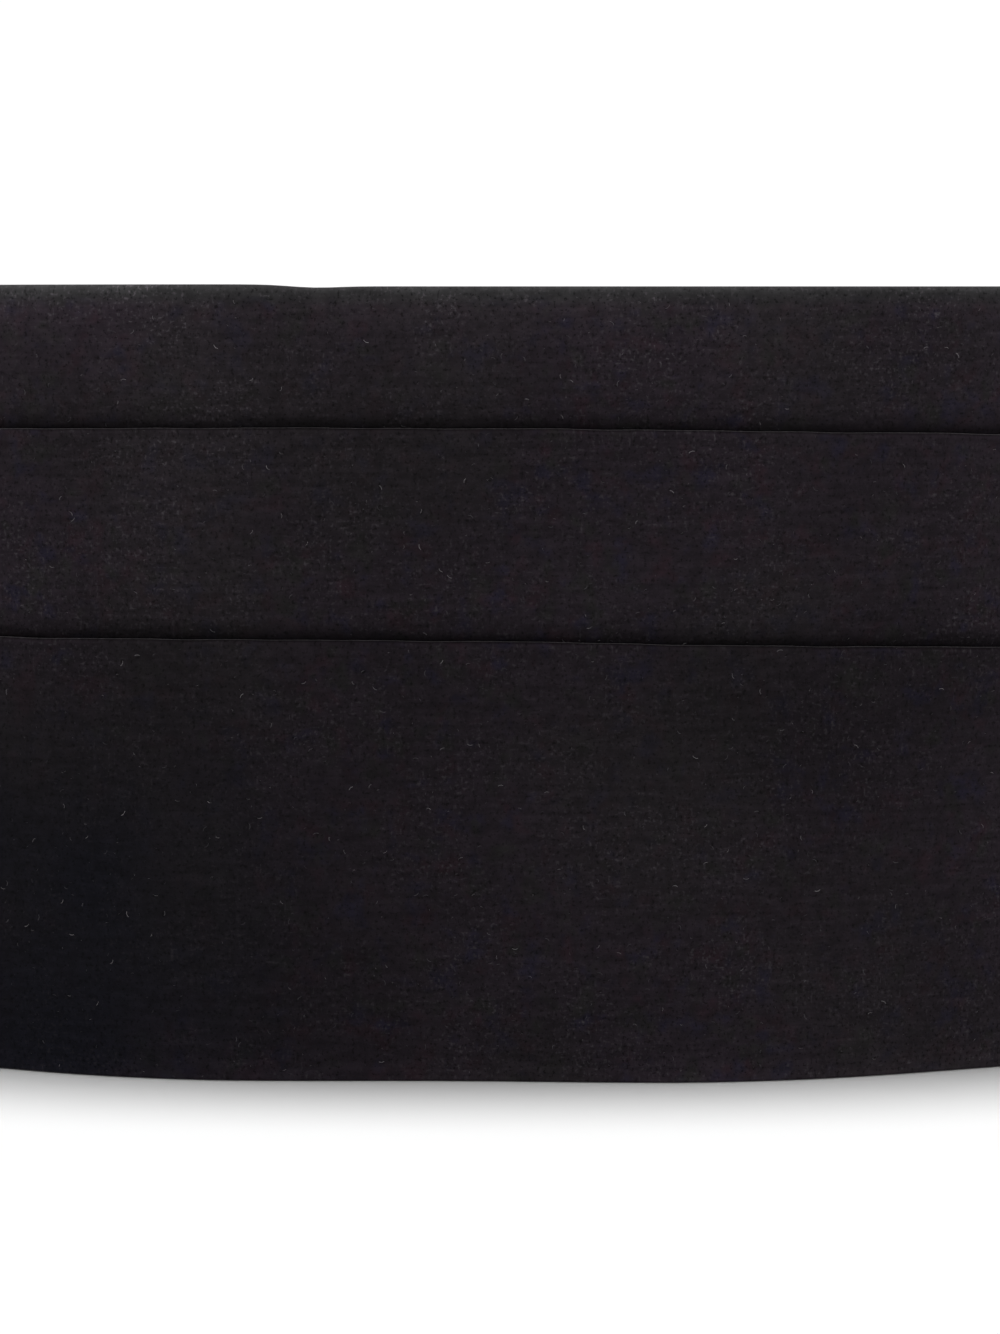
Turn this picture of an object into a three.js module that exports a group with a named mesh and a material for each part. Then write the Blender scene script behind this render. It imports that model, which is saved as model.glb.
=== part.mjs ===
// A black cloth cummerbund, closed into its loop and standing on its lower edge.
// Millimetres, +Z up, the front towards -Y. The origin is on the floor, under the middle of the loop.
// The front is one cloth, hemmed along both edges and folded into two pleats that open upwards.
// Its ends are sewn into tapered tabs, and a strap runs from each tab to one flat slide at the back.

import * as THREE from "three";

// The loop that the waist goes into, measured inside the cloth
const loopWidth = 304;
const loopDepth = 222;
const loopSquareness = 2.2; // exponent of the outline: 2 is an ellipse, and more is squarer

// Cloth
const clothThickness = 1.0;
const layerGap = 0.3; // air between two layers of one folded cloth
const clearance = 0.3; // air between two pieces that are sewn or slipped together

// Pleated front
const frontHeight = 130;
const endHeight = 58;
const strapHeight = 54; // middle of the ends, the straps and the slide, above the floor
const topTaperStart = 0.3; // share of the half length where the upper edge begins to fall
const bottomTaperStart = 0.72; // share of the half length where the lower edge leaves the floor
const taperCurve = 1.5; // exponent of both tapers
const tuckDepth = 15; // how far a pleat's hidden fold lies below its edge
const hemDepth = 11; // cloth turned inwards along each edge
const foldMargin = 1.5; // upright stretch of cloth on each side of a lean
const panelStep = 10; // longest step along the loop between two sections

// The folds, from the lower to the upper, in shares of the panel's height: how high the edge lies at the
// front's middle, how fast it falls towards the right, and how fast it sags towards both sides
const folds = [
  { edge: 0.554, fall: 0.026, sag: 0.13 },
  { edge: 0.822, fall: 0.012, sag: 0.1 },
];

// Soft dent in the upper edge, left of the middle
const dentPlace = -31;
const dentDepth = 0.7;
const dentWidth = 11;

// Tabs over the panel's ends
const tabCover = 20; // length over the pleats
const tabReach = 24; // length past the pleats, where the tab narrows to the strap
const tabCorner = 1.2; // corner radius of the flattened tube, outside
const tabInnerCorner = 0.3; // and inside

// Straps
const strapWidth = 36;
const strapThickness = 1.6;
const strapInset = 2; // from the panel's end to the strap's end inside the tab
const singleLength = 46; // from the tab to the end of the turned-back ply
const foldBack = 24; // stitched length of the turned-back ply
const leadLength = 14; // stretch where the two plies part to go round the slide's bar
const strapStep = 8; // longest step along the loop

// Slide
const slideThickness = 2;
const barWidth = 3; // upright bars that the straps turn round
const middleBarWidth = 4;
const slotWidth = 6;
const railHeight = 3; // above and below the slots
const slotPlay = 0.8; // room above and below a strap in its slot
const slideCorner = 2.5;
const slotCorner = 0.8;

const wool = new THREE.MeshStandardMaterial({ color: 0x1c1a1d, roughness: 0.95, metalness: 0 });
const webbing = new THREE.MeshStandardMaterial({ color: 0x151517, roughness: 0.8, metalness: 0 });
const enamel = new THREE.MeshStandardMaterial({ color: 0x222224, roughness: 0.4, metalness: 0 });

// The inside of the loop from above. t runs from the middle of the back, past the left side, the front
// and the right side, to the back again.
class WaistLoop extends THREE.Curve {
  constructor(width, depth, squareness) {
    super();
    this.halfWidth = width / 2;
    this.halfDepth = depth / 2;
    this.squareness = squareness;
    this.arcLengthDivisions = 1440;
  }

  getPoint(t, target = new THREE.Vector3()) {
    const angle = (t - 0.5) * 2 * Math.PI;
    const across = Math.abs(Math.sin(angle) / this.halfWidth) ** this.squareness;
    const along = Math.abs(Math.cos(angle) / this.halfDepth) ** this.squareness;
    const radius = (across + along) ** (-1 / this.squareness);
    return target.set(radius * Math.sin(angle), -radius * Math.cos(angle), 0);
  }
}

const loop = new WaistLoop(loopWidth, loopDepth, loopSquareness);
const loopLength = loop.getLength();

// Distances along the loop from the front's middle. The front takes what the back leaves of the loop.
const barPlace = loopLength / 2 - middleBarWidth / 2 - slotWidth - barWidth / 2;
const foldBackEnd = barPlace - leadLength - foldBack;
const tabEnd = foldBackEnd - singleLength;
const panelEnd = tabEnd - tabReach;

// Distances outwards from the loop. The straps and the slide lie in line with the panel's middle.
const layerPitch = clothThickness + layerGap;
const panelThickness = 3 * clothThickness + 2 * layerGap;
const middleOut = panelThickness / 2;

// The frame on the loop at a distance to the right of the front's middle: its point and the way out.
function frameAt(distance) {
  const share = 0.5 + distance / loopLength;
  const point = loop.getPointAt(share);
  const tangent = loop.getTangentAt(share);
  return { point, out: new THREE.Vector3(tangent.y, -tangent.x, 0) };
}

// The place that lies out from the loop at a frame, at a height.
function placeOn(frame, out, height) {
  return frame.point.clone().addScaledVector(frame.out, out).setZ(height);
}

// Evenly spaced values from one to another, both included, no more than a step apart.
function evenSteps(from, to, step) {
  const count = Math.max(1, Math.ceil(Math.abs(to - from) / step - 1e-6));
  return Array.from({ length: count + 1 }, (_, k) => from + ((to - from) * k) / count);
}

// The outline of a strip of even thickness along a line, with mitred corners.
function stripOutline(line, thickness) {
  const left = [];
  const right = [];
  line.forEach((point, k) => {
    const before = line[Math.max(k, 1) - 1];
    const after = line[Math.min(k, line.length - 2) + 1];
    const goingIn = (k > 0 ? point.clone().sub(before) : after.clone().sub(point)).normalize();
    const goingOut = (k < line.length - 1 ? after.clone().sub(point) : goingIn.clone()).normalize();
    const along = goingIn.clone().add(goingOut).normalize();
    const reach = thickness / 2 / along.dot(goingIn);
    left.push(new THREE.Vector2(point.x - along.y * reach, point.y + along.x * reach));
    right.push(new THREE.Vector2(point.x + along.y * reach, point.y - along.x * reach));
  });
  return [...right, ...left.reverse()];
}

// A rectangle with round corners, anticlockwise.
function roundedRectangle(left, right, low, high, radius) {
  const quarter = Math.PI / 2;
  const corners = [
    [right - radius, low + radius, -quarter],
    [right - radius, high - radius, 0],
    [left + radius, high - radius, quarter],
    [left + radius, low + radius, 2 * quarter],
  ];
  return corners.flatMap(([x, y, start]) =>
    new THREE.EllipseCurve(x, y, radius, radius, start, start + quarter).getPoints(2),
  );
}

// A closed geometry through matching flat sections. Each section is an anticlockwise outline, and may
// have an anticlockwise hole. place(section, point) gives the place of a section's point.
function loft(sections, place) {
  const positions = [];
  const faces = [];
  const size = sections[0].outline.length + sections[0].hole.length;
  for (const section of sections) {
    for (const point of [...section.outline, ...section.hole]) {
      positions.push(...place(section, point).toArray());
    }
  }
  const addSides = (first, count, inward) => {
    for (let row = 0; row < sections.length - 1; row++) {
      for (let k = 0; k < count; k++) {
        const a = row * size + first + k;
        const b = row * size + first + ((k + 1) % count);
        const quad = [a, b, b + size, a, b + size, a + size];
        faces.push(...(inward ? quad.reverse() : quad));
      }
    }
  };
  addSides(0, sections[0].outline.length, false);
  addSides(sections[0].outline.length, sections[0].hole.length, true);
  const addCap = (section, offset, turned) => {
    const points = [...section.outline, ...section.hole];
    const holes = section.hole.length ? [section.hole] : [];
    for (const [a, b, c] of THREE.ShapeUtils.triangulateShape(section.outline, holes)) {
      const anticlockwise = THREE.ShapeUtils.area([points[a], points[b], points[c]]) > 0;
      const triangle = anticlockwise === turned ? [a, c, b] : [a, b, c];
      faces.push(...triangle.map((k) => k + offset));
    }
  };
  addCap(sections[0], 0, true);
  addCap(sections.at(-1), (sections.length - 1) * size, false);
  return new THREE.BufferGeometry()
    .setAttribute("position", new THREE.Float32BufferAttribute(positions, 3))
    .setIndex(facingOut(positions, faces));
}

// The faces as they are, or all turned round if they enclose a negative volume.
function facingOut(positions, faces) {
  const corner = (k) => new THREE.Vector3().fromArray(positions, 3 * faces[k]);
  let volume = 0;
  for (let k = 0; k < faces.length; k += 3) {
    volume += corner(k).dot(corner(k + 1).cross(corner(k + 2)));
  }
  return volume > 0 ? faces : faces.toReversed();
}

// How far a taper has gone at a share of the half length, from 0 at its start to 1 at the panel's end.
function taperAt(share, start) {
  return Math.max(0, (share - start) / (1 - start)) ** taperCurve;
}

// Heights of the panel's lower and upper edge at a distance from the front's middle.
function panelEdges(distance) {
  const share = Math.abs(distance) / panelEnd;
  const endBottom = strapHeight - endHeight / 2;
  const endTop = strapHeight + endHeight / 2;
  const dent = dentDepth * Math.exp(-(((distance - dentPlace) / dentWidth) ** 2));
  return {
    bottom: endBottom * taperAt(share, bottomTaperStart),
    top: frontHeight - (frontHeight - endTop) * taperAt(share, topTaperStart) - dent,
  };
}

// Middle line of the folded cloth in an upright section: x is outwards from the loop, y is up. It runs
// from the lower hem's raw edge, up through both pleats, to the upper hem's raw edge.
function clothLine(distance) {
  const { bottom, top } = panelEdges(distance);
  const scale = (top - bottom) / frontHeight;
  const tuck = tuckDepth * scale;
  const hem = hemDepth * scale;
  const margin = foldMargin * scale;
  const radius = layerPitch / 2;
  const turnSteps = 3; // odd, so that a level step lies across each fold
  const reach = radius * Math.cos(Math.PI / (2 * turnSteps)) + clothThickness / 2;
  const layer = (k) => clothThickness / 2 + k * layerPitch;
  const at = (k, height) => new THREE.Vector2(layer(k), height);
  const turn = (k, height, start, clockwise) =>
    new THREE.EllipseCurve(
      layer(k) + radius, height, radius, radius, start, start + (clockwise ? -1 : 1) * Math.PI, clockwise,
    ).getPoints(turnSteps);
  const share = distance / panelEnd;
  const fade = 1 - share ** 2;
  const line = [at(0, bottom + hem), ...turn(0, bottom + reach, Math.PI, false)];
  for (const fold of folds) {
    const drop = (fold.fall * share + fold.sag * share ** 2) * fade;
    const edge = bottom + (top - bottom) * (fold.edge - drop);
    line.push(at(2, edge - tuck - margin), ...turn(1, edge - reach, 0, false));
    line.push(...turn(0, edge - tuck + reach, 0, true), at(0, edge + margin));
  }
  line.push(at(1, top - hem - margin), ...turn(0, top - reach, 0, false), at(0, top - hem));
  return line;
}

// The pleated front: one cloth with its hems and its two pleats.
function pleatedFront() {
  const stations = [
    ...evenSteps(-panelEnd, -panelEnd + tabCover, panelStep),
    ...evenSteps(-panelEnd + tabCover, panelEnd - tabCover, panelStep).slice(1),
    ...evenSteps(panelEnd - tabCover, panelEnd, panelStep).slice(1),
  ];
  const sections = stations.map((distance) => ({
    frame: frameAt(distance),
    outline: stripOutline(clothLine(distance), clothThickness),
    hole: [],
  }));
  return loft(sections, (section, point) => placeOn(section.frame, point.x, point.y));
}

// A tab: a flattened tube of cloth, sewn over the pleats at one end and over the strap at the other.
function endTab(side) {
  const covering = evenSteps(panelEnd - tabCover, panelEnd, panelStep);
  const narrowing = evenSteps(panelEnd, tabEnd, panelStep);
  const sections = [...covering, ...narrowing.slice(1)].map((distance) => {
    const { bottom, top } = panelEdges(side * Math.min(distance, panelEnd));
    const past = Math.max(0, distance - panelEnd) / tabReach;
    const low = THREE.MathUtils.lerp(bottom, strapHeight - strapWidth / 2, past) - clearance;
    const high = THREE.MathUtils.lerp(top, strapHeight + strapWidth / 2, past) + clearance;
    const room = THREE.MathUtils.lerp(panelThickness, strapThickness, past) / 2 + clearance;
    const reach = room + clothThickness;
    return {
      frame: frameAt(side * distance),
      outline: roundedRectangle(
        middleOut - reach, middleOut + reach, low - clothThickness, high + clothThickness,
        Math.min(tabCorner, reach),
      ),
      hole: roundedRectangle(
        middleOut - room, middleOut + room, low, high, Math.min(tabInnerCorner, room),
      ),
    };
  });
  return loft(sections, (section, point) => placeOn(section.frame, point.x, point.y));
}

// Middle line of a strap from above: x is the distance along the loop, y is outwards from the loop. It
// runs from inside the tab to the slide, round the slide's outer bar, and back along its inner side.
function strapLine() {
  const turnSteps = 5;
  const flattening = Math.cos(Math.PI / (2 * turnSteps)); // how much nearer the steps' middles lie
  const turnRadius = (slideThickness / 2 + clearance + strapThickness / 2) / flattening;
  const turnPlace = barPlace + barWidth / 2 + clearance;
  const partPlace = barPlace - leadLength;
  const backPly = middleOut - strapThickness - layerGap;
  const inTab = evenSteps(panelEnd, tabEnd, panelStep).slice(1);
  const single = evenSteps(tabEnd, foldBackEnd, strapStep).slice(1);
  const double = evenSteps(foldBackEnd, partPlace, strapStep).slice(1);
  const point = (along, out) => new THREE.Vector2(along, out);
  return [
    point(panelEnd + strapInset, middleOut),
    ...[...inTab, ...single, ...double].map((along) => point(along, middleOut)),
    point(barPlace - barWidth, middleOut + turnRadius),
    ...new THREE.EllipseCurve(
      turnPlace, middleOut, turnRadius, turnRadius, Math.PI / 2, -Math.PI / 2, true,
    ).getPoints(turnSteps),
    point(barPlace - barWidth, middleOut - turnRadius),
    ...double.toReversed().map((along) => point(along, backPly)),
    point(foldBackEnd, backPly),
  ];
}

// A strap: an upright band of doubled webbing between a tab and the slide.
function backStrap(side) {
  const outline = stripOutline(strapLine(), strapThickness).map(({ x, y }) => {
    const { x: across, y: along } = placeOn(frameAt(side * x), y, 0);
    return new THREE.Vector2(across, along);
  });
  const contour = THREE.ShapeUtils.area(outline) > 0 ? outline : outline.toReversed();
  const sections = [-1, 1].map((end) => ({
    height: strapHeight + (end * strapWidth) / 2,
    outline: contour,
    hole: [],
  }));
  return loft(sections, (section, point) => new THREE.Vector3(point.x, point.y, section.height));
}

// The slide: a flat frame of three upright bars between two rails.
function backSlide() {
  const halfLength = middleBarWidth / 2 + slotWidth + barWidth;
  const halfSlot = strapWidth / 2 + slotPlay;
  const halfHeight = halfSlot + railHeight;
  const plate = new THREE.Shape(
    roundedRectangle(-halfLength, halfLength, -halfHeight, halfHeight, slideCorner),
  );
  for (const side of [-1, 1]) {
    const middle = side * (middleBarWidth / 2 + slotWidth / 2);
    plate.holes.push(
      new THREE.Path(
        roundedRectangle(middle - slotWidth / 2, middle + slotWidth / 2, -halfSlot, halfSlot, slotCorner),
      ),
    );
  }
  return new THREE.ExtrudeGeometry(plate, { depth: slideThickness, bevelEnabled: false });
}

// A mesh of a geometry with flat faces, under its piece's name.
function piece(name, geometry, material) {
  const mesh = new THREE.Mesh(geometry.index ? geometry.toNonIndexed() : geometry, material);
  mesh.geometry.computeVertexNormals();
  mesh.name = name;
  return mesh;
}

const slide = piece("back_slide", backSlide(), enamel);
slide.rotation.x = Math.PI / 2; // the plate stands upright, its thickness along Y
slide.position.copy(placeOn(frameAt(barPlace), middleOut, strapHeight)).setX(0);
slide.position.y += slideThickness / 2;

const assembly = new THREE.Group();
assembly.add(
  piece("pleated_front", pleatedFront(), wool),
  piece("end_tab_left", endTab(-1), wool),
  piece("end_tab_right", endTab(1), wool),
  piece("strap_left", backStrap(-1), webbing),
  piece("strap_right", backStrap(1), webbing),
  slide,
);

// Centred over the origin, by the reach of the folds in front and of the straps behind
const backReach = middleOut + slideThickness / 2 + clearance + strapThickness;
assembly.position.y = (panelThickness - backReach) / 2;

const cummerbund = new THREE.Group();
cummerbund.add(assembly);

export default cummerbund;
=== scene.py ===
"""Looks of a black pleated cummerbund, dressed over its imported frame.

The band is closed into its loop and stands on its lower edge on a white table. Every cloth piece is
first laid out straight: x is the distance along the band to the right of the front's middle, y is
inwards and z is up. One Geometry Nodes group then wraps it round the waist. Lengths are in metres.
"""

import logging
import math
from collections.abc import Sequence
from dataclasses import dataclass, field
from enum import Enum

import bmesh
import bpy
import numpy as np
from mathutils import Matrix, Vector


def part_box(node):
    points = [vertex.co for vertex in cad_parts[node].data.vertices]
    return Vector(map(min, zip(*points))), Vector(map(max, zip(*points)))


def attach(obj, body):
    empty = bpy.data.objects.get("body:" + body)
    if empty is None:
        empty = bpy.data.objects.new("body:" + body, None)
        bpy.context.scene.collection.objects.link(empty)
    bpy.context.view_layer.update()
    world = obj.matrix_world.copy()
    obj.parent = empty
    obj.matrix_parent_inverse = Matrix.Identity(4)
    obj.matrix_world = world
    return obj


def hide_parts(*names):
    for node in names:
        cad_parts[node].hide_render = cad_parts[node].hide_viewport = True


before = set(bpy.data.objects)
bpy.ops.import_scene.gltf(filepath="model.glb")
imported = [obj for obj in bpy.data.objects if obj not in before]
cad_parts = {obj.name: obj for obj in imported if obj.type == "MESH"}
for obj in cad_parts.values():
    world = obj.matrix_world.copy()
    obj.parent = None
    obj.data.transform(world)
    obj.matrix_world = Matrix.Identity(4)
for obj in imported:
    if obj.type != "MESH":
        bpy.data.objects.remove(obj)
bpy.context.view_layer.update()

LOG = logging.getLogger("cummerbund")
BODY = "root"
MM = 0.001
TURN = 2 * math.pi
QUARTER = math.pi / 2
NEAR_DOUBLE = 0.001 * MM
CLOTH_MAP = "cloth"
LOOP_INPUTS = {"Loop": "Object", "Half Length": "Float"}

Number = float | np.ndarray
Colour = tuple[float, float, float]
Span = tuple[float, float, float, float]
Row = list[tuple[float, float, float]]
Node = bpy.types.Node
Socket = bpy.types.NodeSocket
Inputs = dict[int | str, object]
Piece = bpy.types.Object


class Side(Enum):
    """The two ends of the band, as seen from the front."""

    LEFT = -1
    RIGHT = 1

    @property
    def word(self) -> str:
        """The side's name as it stands in the names of pieces."""
        return self.name.lower()


class Slot(Enum):
    """The record's material slots."""

    CLOTH = "wool_cloth"
    WEBBING = "webbing"
    METAL = "slide_metal"


# Node trees


class Graph:
    """A node tree that is being written: it adds nodes, sets their inputs and links them."""

    def __init__(self, tree: bpy.types.NodeTree) -> None:
        """Starts on a tree, which loses the nodes that it has."""
        self.tree = tree
        tree.nodes.clear()

    def add(self, kind: str, inputs: Inputs | None = None, **settings: object) -> Node:
        """Adds one node.

        Args:
            kind: The node's type, such as ShaderNodeMath.
            inputs: Input name or number to a value, or to the socket that feeds it.
            settings: The node's own settings.

        Returns:
            The node.
        """
        node = self.tree.nodes.new(kind)
        for name, value in settings.items():
            setattr(node, name, value)
        for name, value in (inputs or {}).items():
            self.feed(node.inputs[name], value)
        return node

    def out(self, kind: str, inputs: Inputs | None = None, **settings: object) -> Socket:
        """Adds one node, as add does, and gives its first output."""
        return self.add(kind, inputs, **settings).outputs[0]

    def feed(self, socket: Socket, value: object) -> None:
        """Links a socket to another, or gives it a value.

        Args:
            socket: The input.
            value: A value, or the socket that feeds it.
        """
        if isinstance(value, Socket):
            self.tree.links.new(value, socket)
        else:
            socket.default_value = value

    def math(self, operation: str, a: object, b: object = 0.0) -> Socket:
        """The result of a Math node, such as MULTIPLY, on two numbers or sockets."""
        return self.out("ShaderNodeMath", {0: a, 1: b}, operation=operation)

    def product(self, first: object, *others: object) -> Socket:
        """Multiplies numbers or sockets.

        Args:
            first: The first of them.
            others: The others.

        Returns:
            The product's socket.
        """
        for other in others:
            first = self.math("MULTIPLY", first, other)
        return first

    def vector(self, operation: str, a: object, b: object) -> Socket:
        """The result of a Vector Math node, such as ADD, on two vectors or sockets."""
        return self.out("ShaderNodeVectorMath", {0: a, 1: b}, operation=operation)

    def scaled(self, vector: object, scale: object) -> Socket:
        """A vector or colour times a number."""
        return self.out("ShaderNodeVectorMath", {0: vector, 3: scale}, operation="SCALE")

    def split(self, vector: Socket) -> Sequence[Socket]:
        """The sockets of a vector's x, y and z."""
        return self.add("ShaderNodeSeparateXYZ", {0: vector}).outputs

    def joined(self, x: object = 0.0, y: object = 0.0, z: object = 0.0) -> Socket:
        """The vector of three numbers or sockets."""
        return self.out("ShaderNodeCombineXYZ", {0: x, 1: y, 2: z})

    def rescale(self, value: object, low: float, high: float, to_low: float, to_high: float) -> Socket:
        """Adds a smooth, clamped Map Range node.

        Args:
            value: The number to map, or its socket.
            low: The number that becomes to_low.
            high: The number that becomes to_high.
            to_low: The result at low.
            to_high: The result at high.

        Returns:
            The result's socket.
        """
        numbers = {0: value, 1: low, 2: high, 3: to_low, 4: to_high}
        return self.out("ShaderNodeMapRange", numbers, interpolation_type="SMOOTHSTEP")

    def noise(
        self, place: object, scale: float, detail: float, roughness: float = 0.5, **settings: str
    ) -> Socket:
        """Adds a noise.

        Args:
            place: The socket of the place.
            scale: How fine it is, per metre.
            detail: How many finer layers it has.
            roughness: How strong the finer layers are.
            settings: The node's own settings.

        Returns:
            The noise's socket.
        """
        inputs = {"Vector": place, "Scale": scale, "Detail": detail, "Roughness": roughness}
        return self.out("ShaderNodeTexNoise", inputs, **settings)

    def three_noises(self, place: object, scale: float, detail: float) -> Sequence[Socket]:
        """Three unlike noises of one scale, per metre, with some finer layers."""
        noise = self.add("ShaderNodeTexNoise", {"Vector": place, "Scale": scale, "Detail": detail})
        return self.add("ShaderNodeSeparateColor", {0: noise.outputs["Color"]}).outputs

    def mixed(self, share: object, first: Socket | Colour, second: Socket | Colour) -> Socket:
        """Mixes two colours.

        Args:
            share: How much of the second there is.
            first: The first colour, or its socket.
            second: The second.

        Returns:
            The mixed colour's socket.
        """
        ends = [end if isinstance(end, Socket) else (*end, 1.0) for end in (first, second)]
        return self.add("ShaderNodeMix", {0: share, 6: ends[0], 7: ends[1]}, data_type="RGBA").outputs[2]

    def place(self) -> Socket:
        """The place in the object's own space."""
        return self.add("ShaderNodeTexCoord").outputs["Object"]

    def attribute(self, name: str) -> Socket:
        """The number that a mesh keeps at each point or face under a name."""
        return self.add("ShaderNodeAttribute", attribute_name=name).outputs["Fac"]

    def bump(self, shader: Node, height: Socket, strength: float, distance: float) -> None:
        """Gives a shader a relief of a strength and a distance."""
        bump = self.out("ShaderNodeBump", {"Strength": strength, "Distance": distance, "Height": height})
        self.feed(shader.inputs["Normal"], bump)


class GeometryGraph(Graph):
    """A Geometry Nodes group with named inputs, which the group gives to its nodes as sockets."""

    def __init__(self, name: str, inputs: dict[str, str]) -> None:
        """Makes the group.

        Args:
            name: The group's name.
            inputs: Each input's name and its type, such as Float.
        """
        super().__init__(bpy.data.node_groups.new(name, "GeometryNodeTree"))
        interface = self.tree.interface
        interface.new_socket("Geometry", in_out="INPUT", socket_type="NodeSocketGeometry")
        interface.new_socket("Geometry", in_out="OUTPUT", socket_type="NodeSocketGeometry")
        for label, kind in inputs.items():
            interface.new_socket(label, in_out="INPUT", socket_type=f"NodeSocket{kind}")
        self.given = self.add("NodeGroupInput").outputs
        self.result = self.add("NodeGroupOutput").inputs["Geometry"]

    def random(self, high: float, offset: int) -> Socket:
        """A random number from 0 to a highest one, for the seed that is so far past the given one."""
        inputs = {2: 0.0, 3: high, "Seed": self.math("ADD", self.given["Seed"], offset)}
        return self.add("FunctionNodeRandomValue", inputs, data_type="FLOAT").outputs[1]

    def finish(self, geometry: Socket) -> None:
        """Ends the group: its instances are realized and get the given finish.

        Args:
            geometry: What it has made.
        """
        realized = self.out("GeometryNodeRealizeInstances", {"Geometry": geometry})
        finished = {"Geometry": realized, "Material": self.given["Finish"]}
        self.feed(self.result, self.out("GeometryNodeSetMaterial", finished))

    def run(self, start: Piece, name: str, **inputs: object) -> Piece:
        """Runs the group on an object, which is used up, and leaves a plain mesh.

        Args:
            start: The object that it starts from.
            name: The result's name.
            inputs: The group's inputs, with _ for a space.

        Returns:
            The finished mesh object, at the origin.
        """
        modifier = start.modifiers.new(self.tree.name, "NODES")
        modifier.node_group = self.tree
        for item in self.tree.interface.items_tree:
            label = item.name.replace(" ", "_")
            if item.in_out == "INPUT" and label in inputs:
                modifier[item.identifier] = inputs[label]
        return made_plain(start, name)


# Objects and meshes


def new_object(name: str, data: bpy.types.ID) -> Piece:
    """Puts an object in the scene.

    Args:
        name: Its name.
        data: The mesh, curve, camera or light that it holds.

    Returns:
        The object.
    """
    made = bpy.data.objects.new(name, data)
    bpy.context.scene.collection.objects.link(made)
    return made


def made_plain(start: Piece, name: str) -> Piece:
    """Replaces an object by the mesh that its modifiers make of it.

    Args:
        start: The object, which is removed.
        name: The new object's name.

    Returns:
        The new mesh object, at the origin and with no modifier.
    """
    bpy.context.view_layer.update()
    graph = bpy.context.evaluated_depsgraph_get()
    mesh = bpy.data.meshes.new_from_object(start.evaluated_get(graph), depsgraph=graph)
    bpy.data.objects.remove(start)
    mesh.name = name
    return new_object(name, mesh)


def new_mesh(name: str, places: np.ndarray, faces: np.ndarray) -> bpy.types.Mesh:
    """Makes a mesh.

    Args:
        name: Its name.
        places: The points' places, in one row or more.
        faces: The point numbers of each face.

    Returns:
        The mesh.
    """
    mesh = bpy.data.meshes.new(name)
    mesh.from_pydata(places.reshape(-1, 3).tolist(), [], faces.tolist())
    return mesh


def new_rows(name: str, rows: Sequence[Row]) -> Piece:
    """An object of lines.

    Args:
        name: Its name.
        rows: The points of each line.

    Returns:
        The object, whose mesh has edges and no faces.
    """
    points, edges = [], []
    for row in rows:
        first = len(points)
        points += row
        edges += [(k, k + 1) for k in range(first, len(points) - 1)]
    mesh = bpy.data.meshes.new(name)
    mesh.from_pydata(points, edges, [])
    return new_object(name, mesh)


def tube_faces(rows: int, size: int) -> np.ndarray:
    """Faces between the closed sections of a tube.

    Args:
        rows: How many sections it has.
        size: How many points each section has.

    Returns:
        The four point numbers of each face.
    """
    column = np.arange(size)
    onward = np.roll(column, -1)
    offset = size * np.arange(rows - 1)[:, None]
    corners = offset + column, offset + onward, offset + size + onward, offset + size + column
    return np.stack(corners, axis=2).reshape(-1, 4)


def map_cloth(mesh: bpy.types.Mesh, flat: np.ndarray) -> None:
    """Gives a mesh its cloth map.

    Args:
        mesh: The mesh.
        flat: Each point's place on the cloth, in metres: along the band, and up it.
    """
    corners = np.empty(len(mesh.loops), np.int32)
    mesh.loops.foreach_get("vertex_index", corners)
    layer = mesh.uv_layers.new(name=CLOTH_MAP)
    layer.uv.foreach_set("vector", flat.reshape(-1, 2)[corners].astype(np.float32).ravel())


def face_outwards(piece: Piece, join_below: float = 0.0) -> None:
    """Turns a closed mesh's faces outwards.

    Args:
        piece: The mesh object.
        join_below: Points that lie closer than this are joined first.
    """
    sheet = bmesh.new()
    sheet.from_mesh(piece.data)
    if join_below:
        bmesh.ops.remove_doubles(sheet, verts=sheet.verts, dist=join_below)
    bmesh.ops.recalc_face_normals(sheet, faces=sheet.faces)
    sheet.to_mesh(piece.data)
    sheet.free()


def hand_over(piece: Piece, slot: Slot, sharp_above: float, node: str | None = None) -> Piece:
    """Shades a finished piece, hangs it on the band's body and hides the modelled piece that it replaces.

    Args:
        piece: The finished piece.
        slot: Its material slot. Not used.
        sharp_above: The angle in degrees above which an edge is shaded sharp.
        node: The modelled piece that it replaces, or none.

    Returns:
        The piece.
    """
    piece.data.shade_smooth()
    piece.data.set_sharp_from_angle(angle=math.radians(sharp_above))
    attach(piece, BODY)
    if node is not None:
        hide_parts(node)
    return piece


def eased(share: float) -> float:
    """A smooth step from 0 to 1, for a share from 0 to 1."""
    return share * share * (3 - 2 * share)


# Finishes


def new_material(name: str) -> tuple[bpy.types.Material, Graph]:
    """Makes a material with an empty tree.

    Args:
        name: Its name.

    Returns:
        The material, and the graph that writes its tree.
    """
    material = bpy.data.materials.new(name)
    material.use_nodes = True
    return material, Graph(material.node_tree)


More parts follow.
